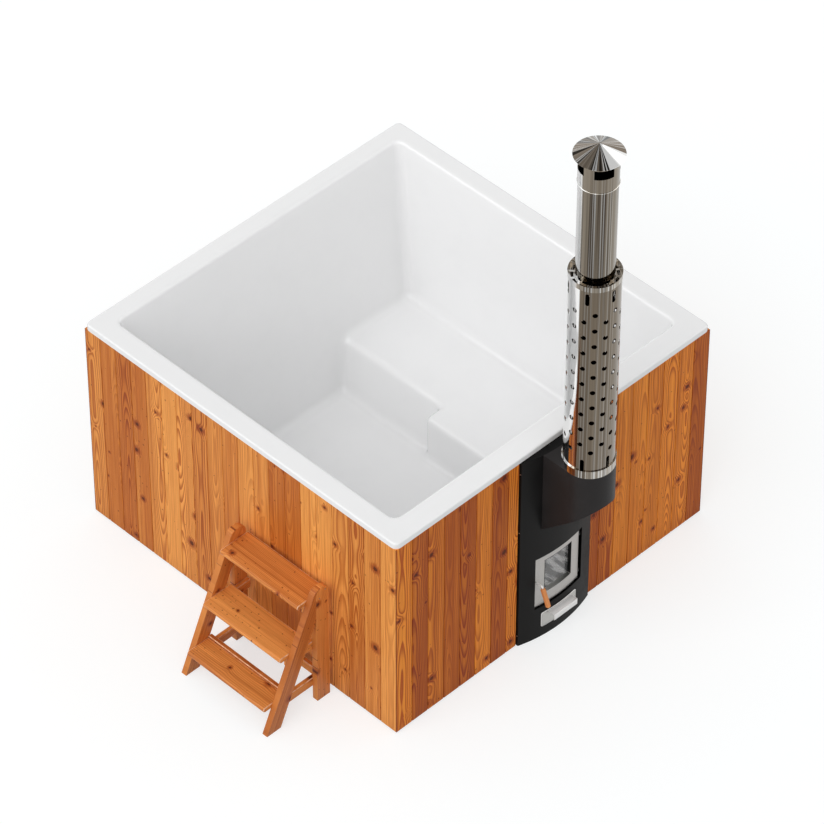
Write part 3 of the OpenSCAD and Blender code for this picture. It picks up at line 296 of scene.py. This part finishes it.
def cladding(name, axis, first_board, pale, deep):
    """Boards that stand side by side along X or Y, darker at their seams and feet, and at the corners with
    end grain and painted shade.
    """
    def fill(g):
        x, y, z = g.split(g.place())
        beside = {"X": x, "Y": y}[axis]
        place = g.math("DIVIDE", g.add(beside, HALF), BOARD_WIDTH)
        number = g.add(g.math("FLOOR", place), first_board)
        across = g.mul(g.math("FRACT", place), BOARD_WIDTH)
        links = larch(g, z, across, number, pale, deep)
        splash = g.smooth(z, SPLASH_HEIGHT, 0.0, 0.0, 0.30)
        colour = g.tinted(links["Base Color"], SPLASH, splash)
        from_edge = g.math("MINIMUM", across, g.sub(BOARD_WIDTH, across))
        colour = g.tinted(colour, SEAM_AND_CORNER_SHADE, g.smooth(from_edge, SEAM_WIDTH, 0.0, 0.0, 0.75))
        # At the corners: darker end grain with a line of painted shade
        from_corner = g.sub(HALF, g.math("ABSOLUTE", beside))
        colour = g.tinted(colour, SEAM_AND_CORNER_SHADE, g.smooth(from_corner, 2.5 * SEAM_WIDTH, SEAM_WIDTH))
        links["Base Color"] = colour
        return links
    return material(name, fill, Specular_IOR_Level=0.16)


def plank(name, along, across, seeds, pale, deep, turn=0.0, knots=0.62, pins=0.62, rings=0.50):
    """One straight piece. along and across are X, Y or Z, turned about Y, and seeds weigh its place."""
    def fill(g):
        x, y, z = g.split(g.place())
        axes = {
            "X": g.sub(g.mul(x, math.cos(turn)), g.mul(z, math.sin(turn))),
            "Y": y,
            "Z": g.add(g.mul(z, math.cos(turn)), g.mul(x, math.sin(turn))),
        }
        steps = [g.math("FLOOR", g.add(g.mul(part, scale), 0.5)) for part, scale in zip((x, y, z), seeds)]
        number = g.add(g.add(steps[0], g.mul(steps[1], 5.0)), g.mul(steps[2], 3.0))
        return larch(g, axes[along], axes[across], g.add(number, 61.0), pale, deep, knots, pins, rings)
    return material(name, fill, Specular_IOR_Level=0.30)


LEFT_PALE, LEFT_DEEP = rgb(0.960, 0.410, 0.098), rgb(0.590, 0.172, 0.026)
FRONT_PALE, FRONT_DEEP = rgb(0.930, 0.315, 0.036), rgb(0.470, 0.105, 0.007)
STEP_PALE, STEP_DEEP = rgb(0.900, 0.360, 0.088), rgb(0.510, 0.150, 0.028)
GRIP_PALE, GRIP_DEEP = rgb(0.920, 0.420, 0.170), rgb(0.660, 0.240, 0.070)

larch_left = cladding("larch_left", "Y", 280, LEFT_PALE, LEFT_DEEP)
larch_right = cladding("larch_right", "Y", 40, LEFT_PALE, LEFT_DEEP)
larch_back = cladding("larch_back", "X", 80, LEFT_PALE, LEFT_DEEP)
larch_front = cladding("larch_front", "X", 120, FRONT_PALE, FRONT_DEEP)
larch_tread = plank("larch_tread", "Y", "X", (0, 0, 9), STEP_PALE, STEP_DEEP)
larch_stringer = plank("larch_stringer", "Z", "X", (0, 2, 0), STEP_PALE, STEP_DEEP, STRINGER_LEAN)
larch_leg = plank("larch_leg", "Z", "X", (0, 3, 0), STEP_PALE, STEP_DEEP)
larch_side_rail = plank("larch_side_rail", "X", "Z", (0, 2, 7), STEP_PALE, STEP_DEEP)
larch_cross_rail = plank("larch_cross_rail", "Y", "Z", (11, 0, 0), STEP_PALE, STEP_DEEP)
larch_grip = plank("larch_grip", "Z", "X", (0, 0, 0), GRIP_PALE, GRIP_DEEP, knots=0.0, pins=0.0)


def fill_pine(g):
    """Sawn pine of the hidden frame."""
    x, y, z = g.split(g.place())
    run = g.noise(g.vector(g.mul(x, 34.0), g.mul(y, 34.0), g.mul(z, 6.0)), 1.0, 4.0)
    rings = g.node("ShaderNodeTexWave", {"Vector": g.place(), "Scale": 28.0, "Distortion": 5.0,
                                         "Detail": 2.0}, output="Fac")
    colour = g.mix(g.smooth(run, 0.3, 0.7), rgb(0.62, 0.43, 0.23), rgb(0.74, 0.56, 0.34))
    colour = g.mix(g.mul(rings, 0.35), colour, rgb(0.50, 0.30, 0.13))
    return {"Base Color": colour, "Normal": bump(g, run, 0.001)}


sawn_pine = material("sawn_pine", fill_pine, Roughness=0.75)


def fill_arris_highlight(g):
    """Planed edges of the steps, painted paler than their faces as a painted highlight, mottled by noise.
    """
    edge_mottle = g.noise(g.place(), 60.0, 3.0, 0.6)
    colour = g.mix(g.smooth(edge_mottle, 0.35, 0.65), rgb(0.86, 0.52, 0.33), rgb(0.60, 0.27, 0.12))
    return {"Base Color": colour, "Normal": bump(g, edge_mottle, 0.0004)}


step_arris_highlight = material("step_arris_highlight", fill_arris_highlight, Roughness=0.40)


# Wear that metals, paint and plastic share

def fill_handling(g, given):
    """Smudges and fine scratches over a surface, as two masks."""
    place = given["Place"]
    cloud = g.noise(place, 9.0, 4.0, 0.62)
    smudge = g.smooth(cloud, 0.42, 0.74)
    x, y, z = g.split(place)
    lines = g.noise(g.vector(g.mul(x, 60.0), g.mul(y, 60.0), g.mul(z, 900.0)), 1.0, 2.0)
    return {"Smudge": smudge, "Lines": lines}


handling_group = make_group(
    "handling", [("Place", "Vector", (0.0, 0.0, 0.0))], [("Smudge", "Float"), ("Lines", "Float")],
    fill_handling,
)


def handled(g, place=None):
    return g.group(handling_group, {"Place": place or g.place()})


def worn(name, colour, shade, roughness, spread, relief=0.0, **plain):
    """A finish whose colour and roughness drift between two values, with an optional fine relief."""
    def fill(g):
        marks = handled(g)
        links = {
            "Base Color": g.mix(marks["Smudge"], colour, shade),
            "Roughness": g.add(roughness, g.mul(marks["Smudge"], spread)),
        }
        if relief:
            grit = g.noise(g.place(), 900.0, 2.0)
            links["Normal"] = bump(g, grit, relief, 0.6)
        return links
    return material(name, fill, **plain)


# Darkened parts of the door's frame: painted shade in its window's sides, from x, to x, above z, and black
# paint on its lugs, from x
REVEAL_SHADE_AND_LUGS = (WINDOW_LOW.x, WINDOW_HIGH.x, WINDOW_LOW.z + 0.006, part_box("hinge_pins")[0].x - 0.001)


BRUSHED_SHADE = 0.86
SHADE_AND_LUG_BLACK = rgb(0.010, 0.010, 0.010)


def brushed(name, colour, along, metallic=1.0, shade_and_lugs=None):
    """Brushed sheet whose lines run along X or Z; for the door, painted shade in its window's sides and
    black paint on its lugs.
    """
    def fill(g):
        x, y, z = g.split(g.place())
        stretched = {"X": (14.0, 700.0, 900.0), "Z": (900.0, 700.0, 14.0)}[along]
        lines = g.noise(g.vector(*[g.mul(p, s) for p, s in zip((x, y, z), stretched)]), 1.0, 3.0, 0.6)
        marks = handled(g)
        shade = rgb(*[part * BRUSHED_SHADE for part in colour[:3]])
        sheet = g.mix(g.smooth(lines, 0.3, 0.7), colour, shade)
        if shade_and_lugs:
            left, right, foot, lugs = shade_and_lugs
            # The window's sides above its foot get painted shade, and the lugs get black paint
            in_shaded_reveal = g.mul(g.math("GREATER_THAN", x, left), g.math("LESS_THAN", x, right))
            in_shaded_reveal = g.mul(in_shaded_reveal, g.math("GREATER_THAN", z, foot))
            in_shaded_reveal = g.mul(in_shaded_reveal, g.math("LESS_THAN", z, WINDOW_HIGH.z))
            sheet = g.mix(g.math("MAXIMUM", in_shaded_reveal, g.math("GREATER_THAN", x, lugs)), sheet, SHADE_AND_LUG_BLACK)
        return {
            "Base Color": sheet,
            "Roughness": g.add(0.26, g.add(g.mul(lines, 0.14), g.mul(marks["Smudge"], 0.10))),
            "Normal": bump(g, lines, 0.00025, 0.5),
        }
    return material(name, fill, Metallic=metallic, Anisotropic=0.5)


gel_coat = worn("gel_coat", rgb(0.880, 0.881, 0.884), rgb(0.870, 0.871, 0.875), 0.16, 0.06,
                Coat_Weight=0.30, Coat_Roughness=0.07, Specular_IOR_Level=0.45)
panel_paint = worn("panel_paint", rgb(0.0062, 0.0059, 0.0057), rgb(0.0090, 0.0086, 0.0083), 0.42, 0.10,
                   0.0002, Specular_IOR_Level=0.08)
flue_box_paint = worn("flue_box_paint", rgb(0.0210, 0.0190, 0.0190), rgb(0.0260, 0.0235, 0.0235),
                      0.42, 0.10, 0.0002, Specular_IOR_Level=0.10)
plain_steel = worn("plain_steel", rgb(0.58, 0.58, 0.57), rgb(0.48, 0.47, 0.46), 0.28, 0.14,
                   Metallic=1.0)
dark_iron = worn("dark_iron", rgb(0.055, 0.052, 0.050), rgb(0.095, 0.075, 0.062), 0.62, 0.18, 0.0006,
                 Metallic=0.5)
cast_iron = worn("cast_iron", rgb(0.10, 0.098, 0.095), rgb(0.16, 0.13, 0.11), 0.60, 0.18, 0.0012,
                 Metallic=0.6)
valve_brass = worn("valve_brass", rgb(0.72, 0.50, 0.22), rgb(0.50, 0.33, 0.14), 0.26, 0.20,
                   Metallic=1.0)
lever_paint = worn("lever_paint", rgb(0.46, 0.030, 0.022), rgb(0.36, 0.024, 0.018), 0.34, 0.14,
                   0.0002)
pipe_plastic = worn("pipe_plastic", rgb(0.34, 0.35, 0.36), rgb(0.29, 0.30, 0.31), 0.38, 0.12)
door_steel = brushed("door_steel", rgb(0.450, 0.438, 0.420), "X", shade_and_lugs=REVEAL_SHADE_AND_LUGS)
drawer_steel = brushed("drawer_steel", rgb(0.50, 0.49, 0.47), "X")
# Lighter copies of the brushed steel for the pull and the latch rod: painted highlight
pull_steel_painted_light = brushed("pull_steel_painted_light", rgb(0.93, 0.92, 0.91), "X", 0.25)
latch_steel_painted_light = brushed("latch_steel_painted_light", rgb(0.86, 0.85, 0.83), "Z", 0.45)
# Pale edges of the drawer's sheet: a painted highlight
sheet_arris_highlight = brushed("sheet_arris_highlight", rgb(0.95, 0.94, 0.92), "X", 0.25)
hinge_paint = worn("hinge_paint", rgb(0.014, 0.014, 0.014), rgb(0.022, 0.022, 0.022), 0.45, 0.10, 0.0002)


def fill_painted_reflection(g, given):
    """Painted reflection on the flue's round steel: light and dark streaks by angle round the flue, and a
    painted highlight on the side given.
    """
    x, y, z = g.split(given["Place"])
    around = g.vector(x, g.sub(y, FLUE_Y))
    unit = g.node("ShaderNodeVectorMath", {0: around}, operation="NORMALIZE")
    ux, uy, _ = g.split(unit)
    coarse = g.noise(g.vector(g.mul(ux, 3.1), g.mul(uy, 3.1), g.mul(z, 0.25)), 1.0, 3.0, 0.62)
    fine = g.noise(g.vector(g.mul(ux, 17.0), g.mul(uy, 17.0), g.mul(z, 0.30)), 1.0, 2.0, 0.6)
    highlight_facing = g.add(g.mul(ux, given["Side X"]), g.mul(uy, given["Side Y"]))
    return {"Coarse": coarse, "Fine": fine, "Side": highlight_facing}


painted_reflection_group = make_group(
    "painted_reflection_streaks",
    [("Place", "Vector", (0.0, 0.0, 0.0)), ("Side X", "Float", -1.0), ("Side Y", "Float", 0.0)],
    [("Coarse", "Float"), ("Fine", "Float"), ("Side", "Float")],
    fill_painted_reflection,
)


# The colour of the painted highlights, and the side of the flue that gets one
PAINTED_HIGHLIGHT = rgb(0.88, 0.88, 0.87)
PAINTED_HIGHLIGHT_SIDE = (-0.93, 0.37)


def polished_with_painted_reflection(name, dark, body, lines, highlight_from, highlight_to, side=PAINTED_HIGHLIGHT_SIDE):
    """Bright-rolled stainless with painted reflection: dark and plain bands, painted highlight lines as
    strong as given, a painted highlight on one flank.
    """
    def fill(g):
        marks = handled(g)
        steel_reflection = g.group(painted_reflection_group, {"Place": g.place(), "Side X": side[0], "Side Y": side[1]})
        colour = g.mix(g.smooth(steel_reflection["Coarse"], 0.40, 0.56), dark, body)
        colour = g.mix(g.mul(g.smooth(steel_reflection["Fine"], 0.52, 0.68), lines), colour, PAINTED_HIGHLIGHT)
        colour = g.mix(g.smooth(steel_reflection["Side"], highlight_from, highlight_to), colour, PAINTED_HIGHLIGHT)
        return {"Base Color": colour, "Roughness": g.add(0.07, g.mul(marks["Smudge"], 0.05))}
    return material(name, fill, Metallic=1.0)


# The flue's steels, each with painted reflection streaks and a painted highlight on one side
pipe_steel = polished_with_painted_reflection("pipe_steel", rgb(0.060, 0.046, 0.034), rgb(0.215, 0.182, 0.142),
                      0.36, 0.95, 0.985)
collar_steel = polished_with_painted_reflection("collar_steel", rgb(0.170, 0.140, 0.108), rgb(0.240, 0.205, 0.162),
                        0.10, 0.95, 0.985)
guard_steel = polished_with_painted_reflection("guard_steel", rgb(0.120, 0.095, 0.070), rgb(0.180, 0.145, 0.108),
                       0.16, 0.84, 0.87)
ring_steel = polished_with_painted_reflection("ring_steel", rgb(0.120, 0.100, 0.078), rgb(0.330, 0.290, 0.240),
                      0.60, 0.90, 0.97)
cone_steel = polished_with_painted_reflection("cone_steel", rgb(0.012, 0.009, 0.007), rgb(0.230, 0.190, 0.150),
                      0.80, 0.825, 0.845, side=(0.165, -0.986))
bead_steel = polished_with_painted_reflection("bead_steel", rgb(0.30, 0.27, 0.23), rgb(0.62, 0.58, 0.52), 0.80, 0.80, 0.95)


def fill_glass(g):
    """Glass with a film of soot, and pale slanting streaks on it as a painted reflection."""
    marks = handled(g)
    x, y, z = g.split(g.place())
    over = g.add(g.mul(x, 0.78), g.mul(z, 0.63))
    down = g.sub(g.mul(x, 0.63), g.mul(z, 0.78))
    glass_reflection_streaks = g.noise(g.vector(g.mul(over, 42.0), g.mul(down, 5.0)), 1.0, 2.0, 0.5)
    sooty, painted_reflection_light = rgb(0.36, 0.36, 0.36), rgb(0.98, 0.98, 0.97)
    return {
        "Base Color": g.mix(g.smooth(glass_reflection_streaks, 0.44, 0.60), sooty, painted_reflection_light),
        "Roughness": g.add(0.03, g.mul(marks["Smudge"], 0.05)),
    }


fire_glass = material("fire_glass", fill_glass, Metallic=0.0, Transmission_Weight=0.78, IOR=1.5)


def fill_rope(g):
    """Woven rope of the door's gasket."""
    weave = g.node("ShaderNodeTexWave", {"Vector": g.place(), "Scale": 160.0, "Distortion": 2.0},
                   output="Fac", bands_direction="DIAGONAL")
    return {"Base Color": g.mix(weave, rgb(0.62, 0.60, 0.54), rgb(0.36, 0.34, 0.30)),
            "Normal": bump(g, weave, 0.0012)}


gasket_rope = material("gasket_rope", fill_rope, Roughness=0.9)


# Which nodes have which finish

FINISHES = {
    larch_left: ["cladding_left"],
    larch_right: ["cladding_right"],
    larch_back: ["cladding_back"],
    larch_front: ["cladding_front_left", "cladding_front_right"],
    larch_tread: ["step_tread_top", "step_tread_middle", "step_tread_bottom"],
    larch_stringer: ["step_stringers"],
    larch_leg: ["step_legs"],
    larch_side_rail: ["step_side_rails"],
    larch_cross_rail: ["step_cross_rails"],
    larch_grip: ["latch_grip"],
    sawn_pine: ["corner_posts", "middle_posts", "stove_posts", "rails_left", "rails_right", "rails_back",
                "rails_front", "floor_bearers", "seat_supports"],
    gel_coat: ["shell"],
    panel_paint: ["front_panel", "stove_front"],
    flue_box_paint: ["flue_box"],
    pipe_steel: ["flue_pipe"],
    collar_steel: ["cap_collar"],
    guard_steel: ["flue_guard"],
    ring_steel: ["guard_base_ring", "guard_top_ring"],
    cone_steel: ["cap_cone"],
    door_steel: ["door_frame"],
    drawer_steel: ["drawer_front"],
    pull_steel_painted_light: ["drawer_pull"],
    latch_steel_painted_light: ["latch_rod"],
    hinge_paint: ["hinge_brackets", "hinge_pins"],
    plain_steel: ["glass_retainer", "latch_keeper", "drain_flange", "drain_ball", "flue_socket",
                  "intake_fitting", "return_fitting", "panel_screws", "step_screws", "water_jacket"],
    pipe_plastic: ["drain_pipe"],
    dark_iron: ["firebox", "smoke_duct", "ash_tray", "drawer_guides", "stove_feet"],
    cast_iron: ["fire_grate"],
    valve_brass: ["drain_valve"],
    lever_paint: ["drain_lever"],
    fire_glass: ["door_glass"],
    gasket_rope: ["door_gasket"],
}
for finish, names in FINISHES.items():
    for name in names:
        slots = nodes[name].data.materials
        slots.clear()
        slots.append(finish)


# Timber and sheet with eased edges, painted paler as a painted highlight

WELD = 2e-5
FLAT_ANGLE, EDGE_ANGLE = math.radians(1), math.radians(35)
TIMBER_EASE, SHEET_EASE = 0.0032, 0.0014


def eased(name, body, radius, segments, edge_finish):
    """A copy of a CAD piece, welded and bevelled, that stands in for it, its edges in edge_finish."""
    work = bmesh.new()
    work.from_mesh(nodes[name].data)
    bmesh.ops.remove_doubles(work, verts=work.verts, dist=WELD)
    bmesh.ops.dissolve_limit(work, angle_limit=FLAT_ANGLE, verts=work.verts, edges=work.edges)
    mesh = bpy.data.meshes.new("eased_" + name)
    work.to_mesh(mesh)
    work.free()
    mesh.materials.append(nodes[name].data.materials[0])
    mesh.materials.append(edge_finish)
    piece = bpy.data.objects.new("eased_" + name, mesh)
    bpy.context.scene.collection.objects.link(piece)
    mesh.polygons.foreach_set("use_smooth", [True] * len(mesh.polygons))
    bevel = piece.modifiers.new("eased_edges", "BEVEL")
    bevel.width = radius
    bevel.segments = segments
    bevel.limit_method = "ANGLE"
    bevel.angle_limit = EDGE_ANGLE
    bevel.harden_normals = True
    bevel.material = 1
    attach(piece, body)
    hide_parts(name)


# The steps' eased edges take the painted highlight
for name in ("step_stringers", "step_legs", "step_tread_top", "step_tread_middle", "step_tread_bottom",
             "step_side_rails", "step_cross_rails"):
    eased(name, "steps", TIMBER_EASE, 3, step_arris_highlight)
# The drawer's eased edges take the painted highlight
for name in ("drawer_front", "drawer_pull"):
    eased(name, "ash_drawer", SHEET_EASE, 2, sheet_arris_highlight)


# Shell

def rounded(sides, radius):
    """Distance from the space inside all the given sides, with its edges rounded."""
    pushed = [np.maximum(side + radius, 0) for side in sides]
    inner = np.minimum(np.maximum.reduce(sides) + radius, 0)
    return np.sqrt(sum(p * p for p in pushed)) + inner - radius


def join(a, b, reach):
    """The union of two spaces, with a fillet of about the given reach where they meet."""
    share = np.clip(0.5 + 0.5 * (b - a) / reach, 0, 1)
    return b * (1 - share) + a * share - reach * share * (1 - share)


def shell_field(x, y, z):
    """Below zero inside the moulding or under it, above zero in the water and the air."""
    depth = RIM_TOP - z
    walls_x = np.maximum(OPEN_LEFT + DRAFT_LEFT * depth - x, x - OPEN_RIGHT + DRAFT_RIGHT * depth)
    walls_y = np.maximum(OPEN_FRONT + DRAFT_FRONT * depth - y, y - OPEN_BACK + DRAFT_BACK * depth)
    water = rounded([walls_x, walls_y, FLOOR_TOP - z], CORNER_R)
    plan = rounded([np.abs(x) - RIM_HALF, np.abs(y) - RIM_HALF], RIM_CORNER_R)
    block = rounded([plan, z - RIM_TOP], RIM_ROUND)
    moulding = -join(-block, water, LIP_R)

    face = SEAT_FRONT - SEAT_LEAN * (SEAT_TOP - SEAT_R - z) - x
    wide = rounded([WIDE_SEAT_FRONT - x, y - WIDE_SEAT_BACK], SEAT_R)
    bench = rounded([join(face, wide, FILLET), z - SEAT_TOP], SEAT_R)
    recess = rounded([np.abs(x) - BLOCK_HALF, y - BLOCK_BACK, z - BLOCK_TOP], SEAT_R)
    moulding = join(join(moulding, bench, FILLET), recess, FILLET)

    drain = np.maximum(np.hypot(x - DRAIN[0], y - DRAIN[1]) - HOLE_R, FLOOR_TOP - 3 * SKIN - z)
    holes = [drain]
    for hole_z in WATER_HOLES_Z:
        holes.append(np.maximum(np.hypot(x, z - hole_z) - HOLE_R, np.abs(y - BLOCK_BACK) - 3 * SKIN))
    return np.maximum(moulding, -np.minimum.reduce(holes))


def settle(field, points, limit, rounds=6):
    """Moves points onto the field's zero and returns them with the surface's normals."""
    start, tiny = points.copy(), 1e-4
    for _ in range(rounds):
        value = field(*points.T)
        slope = np.stack([field(*(points + tiny * axis).T) - field(*(points - tiny * axis).T)
                          for axis in np.eye(3)], 1) / (2 * tiny)
        size = np.maximum((slope ** 2).sum(1), 1e-6)
        points = start + np.clip(points - slope * (value / size)[:, None] - start, -limit, limit)
    return points, slope / np.sqrt(size)[:, None]


def surface_nets(field, low, cell, counts):
    """Quads on the field's zero: a point in each cell that it crosses, a face at each crossed edge."""
    axes = [low[k] + cell * np.arange(counts[k]) for k in range(3)]
    inside = field(*np.meshgrid(*axes, indexing="ij")) < 0
    corners = sum(inside[i:counts[0] - 1 + i, j:counts[1] - 1 + j, k:counts[2] - 1 + k].astype(np.int8)
                  for i in (0, 1) for j in (0, 1) for k in (0, 1))
    crossed = (corners > 0) & (corners < 8)
    number = np.full(crossed.shape, -1)
    number[crossed] = np.arange(crossed.sum())
    points = np.array(low) + cell * (np.argwhere(crossed) + 0.5)

    quads = []
    for axis in range(3):
        one, two = (axis + 1) % 3, (axis + 2) % 3
        ahead = np.roll(inside, -1, axis)
        changes = np.argwhere(inside != ahead)
        keep = (changes[:, axis] < counts[axis] - 1) & (changes[:, one] > 0) & (changes[:, two] > 0)
        keep &= (changes[:, one] < counts[one] - 1) & (changes[:, two] < counts[two] - 1)
        changes = changes[keep]
        ring = []
        for back_one, back_two in ((0, 0), (1, 0), (1, 1), (0, 1)):
            cells = changes.copy()
            cells[:, one] -= back_one
            cells[:, two] -= back_two
            ring.append(number[tuple(cells.T)])
        ring = np.stack(ring, 1)
        rising = inside[tuple(changes.T)]
        ring[~rising] = ring[~rising][:, ::-1]
        quads.append(ring)
    return points, np.concatenate(quads)


def skin_mesh(name, points, normals, faces, thickness):
    """A closed sheet: the given faces, a copy of them set back by thickness, and an edge between."""
    count = len(points)
    sides = np.concatenate([faces[:, [k, (k + 1) % 4]] for k in range(4)])
    keys = sides[:, 0].astype(np.int64) * count + sides[:, 1]
    back_keys = sides[:, 1].astype(np.int64) * count + sides[:, 0]
    border = sides[~np.isin(keys, back_keys)]
    edge = np.stack([border[:, 1], border[:, 0], border[:, 0] + count, border[:, 1] + count], 1)
    all_points = np.concatenate([points, points - normals * thickness])
    all_faces = np.concatenate([faces, faces[:, ::-1] + count, edge])
    mesh = bpy.data.meshes.new(name)
    mesh.from_pydata(all_points.tolist(), [], all_faces.tolist())
    mesh.polygons.foreach_set("use_smooth", np.ones(len(all_faces), bool))
    mesh.normals_split_custom_set_from_vertices(np.concatenate([normals, -normals]).tolist())
    piece = bpy.data.objects.new(name, mesh)
    bpy.context.scene.collection.objects.link(piece)
    return piece


CELL, QUICK_CELL = 0.010, 0.0125


def moulded_shell():
    """The shell with smooth roundings, in place of the faceted CAD one."""
    cell = CELL
    margin = 1.5 * cell
    foot_rows = math.ceil((WOOD_TOP - (FLOOR_TOP - 6 * SKIN)) / cell)
    low = (-RIM_HALF - margin, -RIM_HALF - margin, WOOD_TOP - (foot_rows + 0.5) * cell)
    across = math.ceil(2 * (RIM_HALF + margin) / cell) + 1
    up = math.ceil((RIM_TOP + margin - low[2]) / cell) + 1
    points, faces = surface_nets(shell_field, low, cell, (across, across, up))
    points, normals = settle(shell_field, points, cell)
    on_edge = np.maximum(np.abs(points[:, 0]), np.abs(points[:, 1])) > RIM_HALF - 2 * SKIN
    below = on_edge & (points[:, 2] < WOOD_TOP - 0.1 * cell)
    faces = faces[~below[faces].any(1)]
    used = np.unique(faces)
    renumber = np.zeros(len(points), int)
    renumber[used] = np.arange(len(used))
    return skin_mesh("moulded_shell", points[used], normals[used], renumber[faces], SKIN)


shell = moulded_shell()
shell.data.materials.append(gel_coat)
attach(shell, "tub")
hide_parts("shell")


# The thin bead that closes the cap's collar over the pipe

def turned(name, outline, centre, steps=96):
    """A ring of revolution about an upright axis, from a closed outline of (radius, height)."""
    mesh = bpy.data.meshes.new(name)
    count = len(outline)
    points = []
    for step in range(steps):
        angle = 2 * math.pi * step / steps
        points += [(centre[0] + r * math.cos(angle), centre[1] + r * math.sin(angle), z)
                   for r, z in outline]
    faces = []
    for step in range(steps):
        here, ahead = step * count, (step + 1) % steps * count
        for k in range(count):
            j = (k + 1) % count
            faces.append((here + k, ahead + k, ahead + j, here + j))
    mesh.from_pydata(points, [], faces)
    mesh.polygons.foreach_set("use_smooth", [True] * len(faces))
    piece = bpy.data.objects.new(name, mesh)
    bpy.context.scene.collection.objects.link(piece)
    return piece


collar_low, collar_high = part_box("cap_collar")
collar_r = (collar_high.x - collar_low.x) / 2
BEAD_R, BEAD_STANDOFF = 0.0022, 0.0002
bead_middle = (collar_r + BEAD_STANDOFF, collar_low.z + BEAD_R)
bead_outline = [(bead_middle[0] + BEAD_R * math.cos(a), bead_middle[1] + BEAD_R * math.sin(a))
                for a in (math.radians(45 * k) for k in range(8))]
collar_bead = turned("collar_bead", bead_outline, (0.0, FLUE_Y))
collar_bead.data.materials.append(bead_steel)
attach(collar_bead, "tub")


# Studio

FLOOR_SIZE, FLOOR_DROP = 90.0, 0.0005
FLOOR_COLOUR, FLOOR_LIFT = rgb(0.41, 0.43, 0.435), 0.62
HORIZON_LIGHT, ZENITH_LIGHT = 0.94, 0.55
CEILING_LIGHT = 0.62
SOFTBOXES, SOFTBOX_LIGHT = ((-0.69, 0.51, 0.50), (0.80, -0.40, 0.45)), 1.7
KEY_LIGHT, KEY_PLACE, KEY_ANGLE = 1.30, (-6.6, -1.3, 6.9), math.radians(60)
CAMERA_PLACE = (-10.5433, -10.6606, 14.8951)
CAMERA_TURN = (46.3187, -0.0422, -44.8707)
CAMERA_LENS, CAMERA_SENSOR = 219.09, 36.0


def studio_plane(name, size, place, finish):
    mesh = bpy.data.meshes.new(name)
    s = size / 2
    mesh.from_pydata([(-s, -s, 0), (s, -s, 0), (s, s, 0), (-s, s, 0)], [], [(0, 1, 2, 3)])
    mesh.materials.append(finish)
    plane = bpy.data.objects.new(name, mesh)
    plane.location = place
    bpy.context.scene.collection.objects.link(plane)
    return plane


def seen_directly(g):
    """1 for what the camera sees itself, in a mirror or through glass."""
    path = g.node("ShaderNodeLightPath", output="Is Camera Ray").node
    reflected = g.math("MAXIMUM", path.outputs["Is Glossy Ray"], path.outputs["Is Transmission Ray"])
    return path.outputs["Is Camera Ray"], reflected


def floor_finish():
    """A pale floor that keeps the object's shadow: its own light is only for what sees it."""
    made = bpy.data.materials.new("studio_floor")
    made.use_nodes = True
    g = Graph(made.node_tree)
    made.node_tree.nodes.remove(made.node_tree.nodes["Principled BSDF"])
    camera, reflected = seen_directly(g)
    diffuse = g.node("ShaderNodeBsdfDiffuse", {"Color": FLOOR_COLOUR})
    lift = g.node("ShaderNodeEmission",
                  {"Strength": g.mul(g.math("MAXIMUM", camera, reflected), FLOOR_LIFT)})
    both = g.node("ShaderNodeAddShader", {0: diffuse, 1: lift})
    made.node_tree.links.new(both, made.node_tree.nodes["Material Output"].inputs["Surface"])
    return made


studio_plane("studio_floor", FLOOR_SIZE, (0, 0, -FLOOR_DROP), floor_finish())

# Soft light from all round. Metal and glass see a ceiling with two softboxes in it, the camera white.
world = bpy.data.worlds.new("studio")
bpy.context.scene.world = world
world.use_nodes = True
sky = Graph(world.node_tree)
camera, reflected = seen_directly(sky)
direction = sky.split(sky.node("ShaderNodeTexCoord", output="Generated"))
ceiling = sky.smooth(direction[2], 0.30, 0.80, 1.0, CEILING_LIGHT)
for aim in SOFTBOXES:
    toward = sky.node("ShaderNodeVectorMath", {0: sky.vector(*direction), 1: Vector(aim).normalized()},
                      output="Value", operation="DOT_PRODUCT")
    ceiling = sky.add(ceiling, sky.smooth(toward, 0.88, 0.96, 0.0, SOFTBOX_LIGHT))
light = sky.smooth(direction[2], 0.0, 1.0, HORIZON_LIGHT, ZENITH_LIGHT)
level = sky.add(sky.mul(reflected, sky.sub(ceiling, light)), light)
level = sky.math("MAXIMUM", level, camera)
background = world.node_tree.nodes["Background"]
background.inputs["Color"].default_value = rgb(1.0, 1.0, 1.0)
world.node_tree.links.new(level, background.inputs["Strength"])


def lamp(name, kind, energy, place, target, **settings):
    data = bpy.data.lights.new(name, kind)
    data.energy = energy
    for key, value in settings.items():
        setattr(data, key, value)
    made = bpy.data.objects.new(name, data)
    made.location = place
    made.rotation_euler = (Vector(target) - Vector(place)).to_track_quat("-Z", "Y").to_euler()
    bpy.context.scene.collection.objects.link(made)
    return made


lamp("key", "SUN", KEY_LIGHT, KEY_PLACE, (0, 0, 0), angle=KEY_ANGLE)

camera_data = bpy.data.cameras.new("photo_camera")
camera_data.lens = CAMERA_LENS
camera_data.sensor_width = CAMERA_SENSOR
camera_data.clip_end = 200.0
photo_camera = bpy.data.objects.new("photo_camera", camera_data)
photo_camera.location = CAMERA_PLACE
photo_camera.rotation_euler = [math.radians(a) for a in CAMERA_TURN]
bpy.context.scene.collection.objects.link(photo_camera)
bpy.context.scene.camera = photo_camera
bpy.context.scene.view_settings.view_transform = "Standard"
